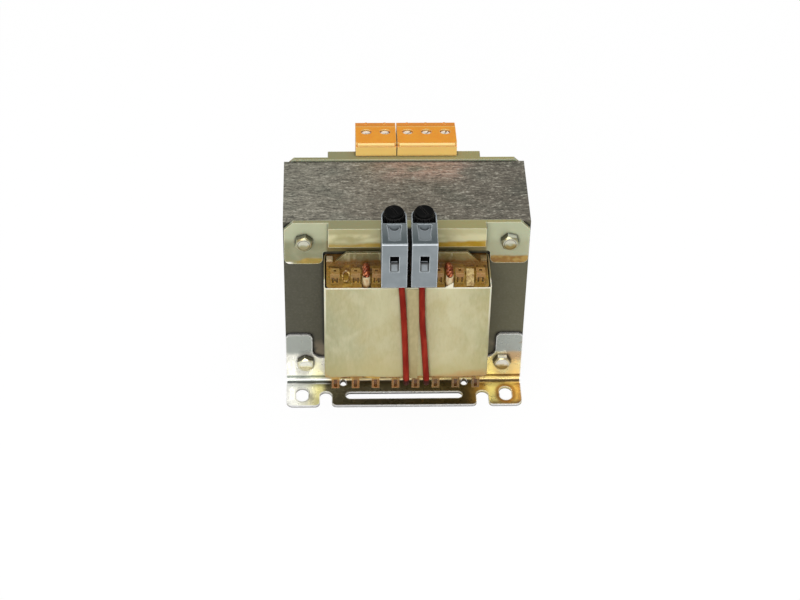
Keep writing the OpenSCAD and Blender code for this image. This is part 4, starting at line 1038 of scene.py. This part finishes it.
class TRANSFORMER_OT_fuse_terminals(Operator):
    """Grey fuse terminals"""

    bl_idname = "transformer.fuse_terminals"
    bl_label = "Fuse terminals"

    def execute(self, context):
        look = settings().plastic
        f = Finish("grey moulding", rough=0.4, Coat_Weight=0.1, Coat_Roughness=0.25)
        f.mottle(look.fuse_colour, (131, 139, 143), 0.35, 0.7, 7, 3, seed=101)
        # Upward faces are painted darker, as shade
        level = f.ramp(f.facing(2), 0.5, 0.8)
        f.paint(look.fuse_top_shade, level)
        # Side faces are painted darker, as shade
        f.paint((84, 92, 96), f.ramp(f.flat_on(0), 0.7, 0.9), 0.6)
        # Painted highlight along the edges
        f.paint((218, 226, 230), f.edges(0.7), 0.85)
        # Pocket painted black above its floor as shade; pale tongue below, with painted shade at
        # its sides and a painted highlight on a bar
        face, floor = -53.2, 101
        aside = f.off_middle()
        inside = f.times(f.step(1, face, face + 0.3), f.step(1, -40, -42),
                         f.band(2, 98, 108.6, 0.15), f.ramp(aside, 2.7, 2.4))
        tongue = f.blend(f.noise(0.8, 2, seed=103), (150, 158, 162), (112, 120, 124))
        tongue = f.over(tongue, (26, 29, 31), f.ramp(aside, 1.1, 1.8))
        tongue = f.over(tongue, (6, 7, 8), f.step(2, floor, floor + 0.5))
        lit_bar = f.times(f.band(1, -49.9, -49.2, 0.15), f.step(2, floor + 0.4, floor + 0.7),
                      f.ramp(aside, 1.7, 1.4), inside)
        tongue = f.over(tongue, (214, 220, 224), lit_bar)
        f.paint(tongue, inside)
        # A painted highlight along the top edge of the front face
        f.paint((236, 243, 247), f.step(2, 114.9, 115.3), f.step(1, face, face - 0.2), 0.9)
        # The screwdriver guide is painted lighter than the shelf, as lit
        lit_guide = f.times(f.band(2, 114.6, 116.6, 0.1), f.band(1, -51, -41.4, 0.2),
                        f.ramp(aside, 3.3, 3), level)
        f.paint((126, 134, 138), lit_guide, 0.6)
        # Painted shade in corners and gaps, except on the bar
        f.paint((22, 25, 27), f.crevice_shade(2, 0.35, 0.85), f.less(0.75, lit_bar, True))
        f.bump(f.noise(0.4, 2, seed=102), 0.02)
        dress(FUSE_TERMINALS, f.done(), 0.22 * MM)
        return {"FINISHED"}


class TRANSFORMER_OT_fuse_caps(Operator):
    """Black knurled fuse caps"""

    bl_idname = "transformer.fuse_caps"
    bl_label = "Fuse caps"

    def execute(self, context):
        look = settings().plastic
        f = Finish("black moulding", rough=0.4, Specular_IOR_Level=0.08)
        f.mottle(look.cap_colour, (10, 10, 10), 0.4, 0.7, 3, 3, seed=111)
        # Painted highlight along the edges
        f.paint((92, 90, 88), f.edges(0.4), 0.5)
        f.bump(f.noise(0.5, 2, seed=112), 0.02)
        dress(["fuse_cap_left", "fuse_cap_right"], f.done(), 0.18 * MM)
        return {"FINISHED"}


class TRANSFORMER_OT_stage(Operator):
    """Pale floor, soft light and camera"""

    bl_idname = "transformer.stage"
    bl_label = "Stage"

    def execute(self, context):
        look = settings().stage
        scene = context.scene
        half = look.floor_size / 2
        mesh = bpy.data.meshes.new("floor")
        mesh.from_pydata([(-half, -half, 0), (half, -half, 0), (half, half, 0),
                          (-half, half, 0)], [], [(0, 1, 2, 3)])
        floor = add_object("floor", mesh)
        white = (255, 255, 255)
        f = Finish("white floor", rough=0.9, Specular_IOR_Level=0,
                   Base_Color=(0.9, 0.9, 0.9, 1))
        floor_white, own_white = 1.02, 0.93
        glow = f.node("ShaderNodeEmission", {"Color": white, "Strength": floor_white})
        # The camera sees most of the floor's white as its own, so shadows stay pale
        share = f.times(f.node("ShaderNodeLightPath").outputs["Is Camera Ray"], own_white)
        seen = f.node("ShaderNodeMixShader", {0: share, 1: f.shader.outputs[0],
                                              2: glow.outputs[0]})
        feed(f.tree, f.tree.nodes["Material Output"].inputs["Surface"], seen.outputs[0])
        mesh.materials.append(f.mat)

        world = bpy.data.worlds.new("studio")
        scene.world = world
        world.use_nodes = True
        tree = world.node_tree
        tree.nodes.clear()
        even, seen = (add_node(tree, "ShaderNodeBackground", {"Color": white, "Strength": level})
                      for level in (look.world_level, 1))
        rays = add_node(tree, "ShaderNodeLightPath")
        pick = add_node(tree, "ShaderNodeMixShader", {
            0: rays.outputs["Is Camera Ray"], 1: even.outputs[0], 2: seen.outputs[0]})
        add_node(tree, "ShaderNodeOutputWorld", {"Surface": pick.outputs[0]})

        for name, power, place, size in (
                ("front light", look.key_power, (-0.25, -1.5, 0.85), (1.3, 1.1)),
                ("top light", look.top_power, (0.1, 0.15, 1.5), (1, 1))):
            lamp = set_up(bpy.data.lights.new(name, "AREA"), shape="RECTANGLE", size=size[0],
                          size_y=size[1], energy=power)
            aim = Vector((0, 0, 0.06)) - Vector(place)
            set_up(add_object(name, lamp), location=place,
                   rotation_euler=aim.to_track_quat("-Z", "Y").to_euler())

        camera = add_object("camera", set_up(
            bpy.data.cameras.new("camera"), sensor_width=36, lens=look.lens, clip_start=0.01,
            clip_end=50))
        camera.matrix_world = (
            Matrix.Translation(Vector(look.eye))
            @ Matrix.Rotation(-look.heading, 4, "Z")
            @ Matrix.Rotation(math.pi / 2 - look.tilt, 4, "X")
            @ Matrix.Rotation(look.roll, 4, "Z"))
        scene.camera = camera
        scene.view_settings.view_transform = "Standard"
        return {"FINISHED"}


PIECES = (
    TRANSFORMER_OT_stage,
    TRANSFORMER_OT_core,
    TRANSFORMER_OT_carriers,
    TRANSFORMER_OT_bobbin,
    TRANSFORMER_OT_windings,
    TRANSFORMER_OT_wrap,
    TRANSFORMER_OT_leads,
    TRANSFORMER_OT_brackets,
    TRANSFORMER_OT_bolts,
    TRANSFORMER_OT_blocks,
    TRANSFORMER_OT_clamps,
    TRANSFORMER_OT_fuse_terminals,
    TRANSFORMER_OT_fuse_caps,
)


class TRANSFORMER_PT_panel(Panel):
    """Sidebar panel with one button for each piece"""

    bl_idname = "TRANSFORMER_PT_panel"
    bl_label = "Chassis transformer"
    bl_space_type = "VIEW_3D"
    bl_region_type = "UI"
    bl_category = "Transformer"

    def draw(self, context):
        layout = self.layout
        look = context.scene.chassis_transformer
        for title, group in (("Core", look.core), ("Coil", look.coil),
                             ("Plastics", look.plastic), ("Metals", look.metal),
                             ("Stage", look.stage)):
            box = layout.box()
            box.label(text=title)
            for key in group.bl_rna.properties.keys():
                if key not in ("rna_type", "name"):
                    box.prop(group, key)
        for piece in PIECES:
            layout.operator(piece.bl_idname)


CLASSES = (CoreSettings, CoilSettings, PlasticSettings, MetalSettings, StageSettings,
           TransformerSettings, *PIECES, TRANSFORMER_PT_panel)


def register():
    for item in CLASSES:
        bpy.utils.register_class(item)
    bpy.types.Scene.chassis_transformer = PointerProperty(type=TransformerSettings)


def unregister():
    del bpy.types.Scene.chassis_transformer
    for item in reversed(CLASSES):
        bpy.utils.unregister_class(item)


def main():
    register()
    for piece in PIECES:
        group, action = piece.bl_idname.split(".")
        getattr(getattr(bpy.ops, group), action)()


if __name__ == "__main__":
    main()
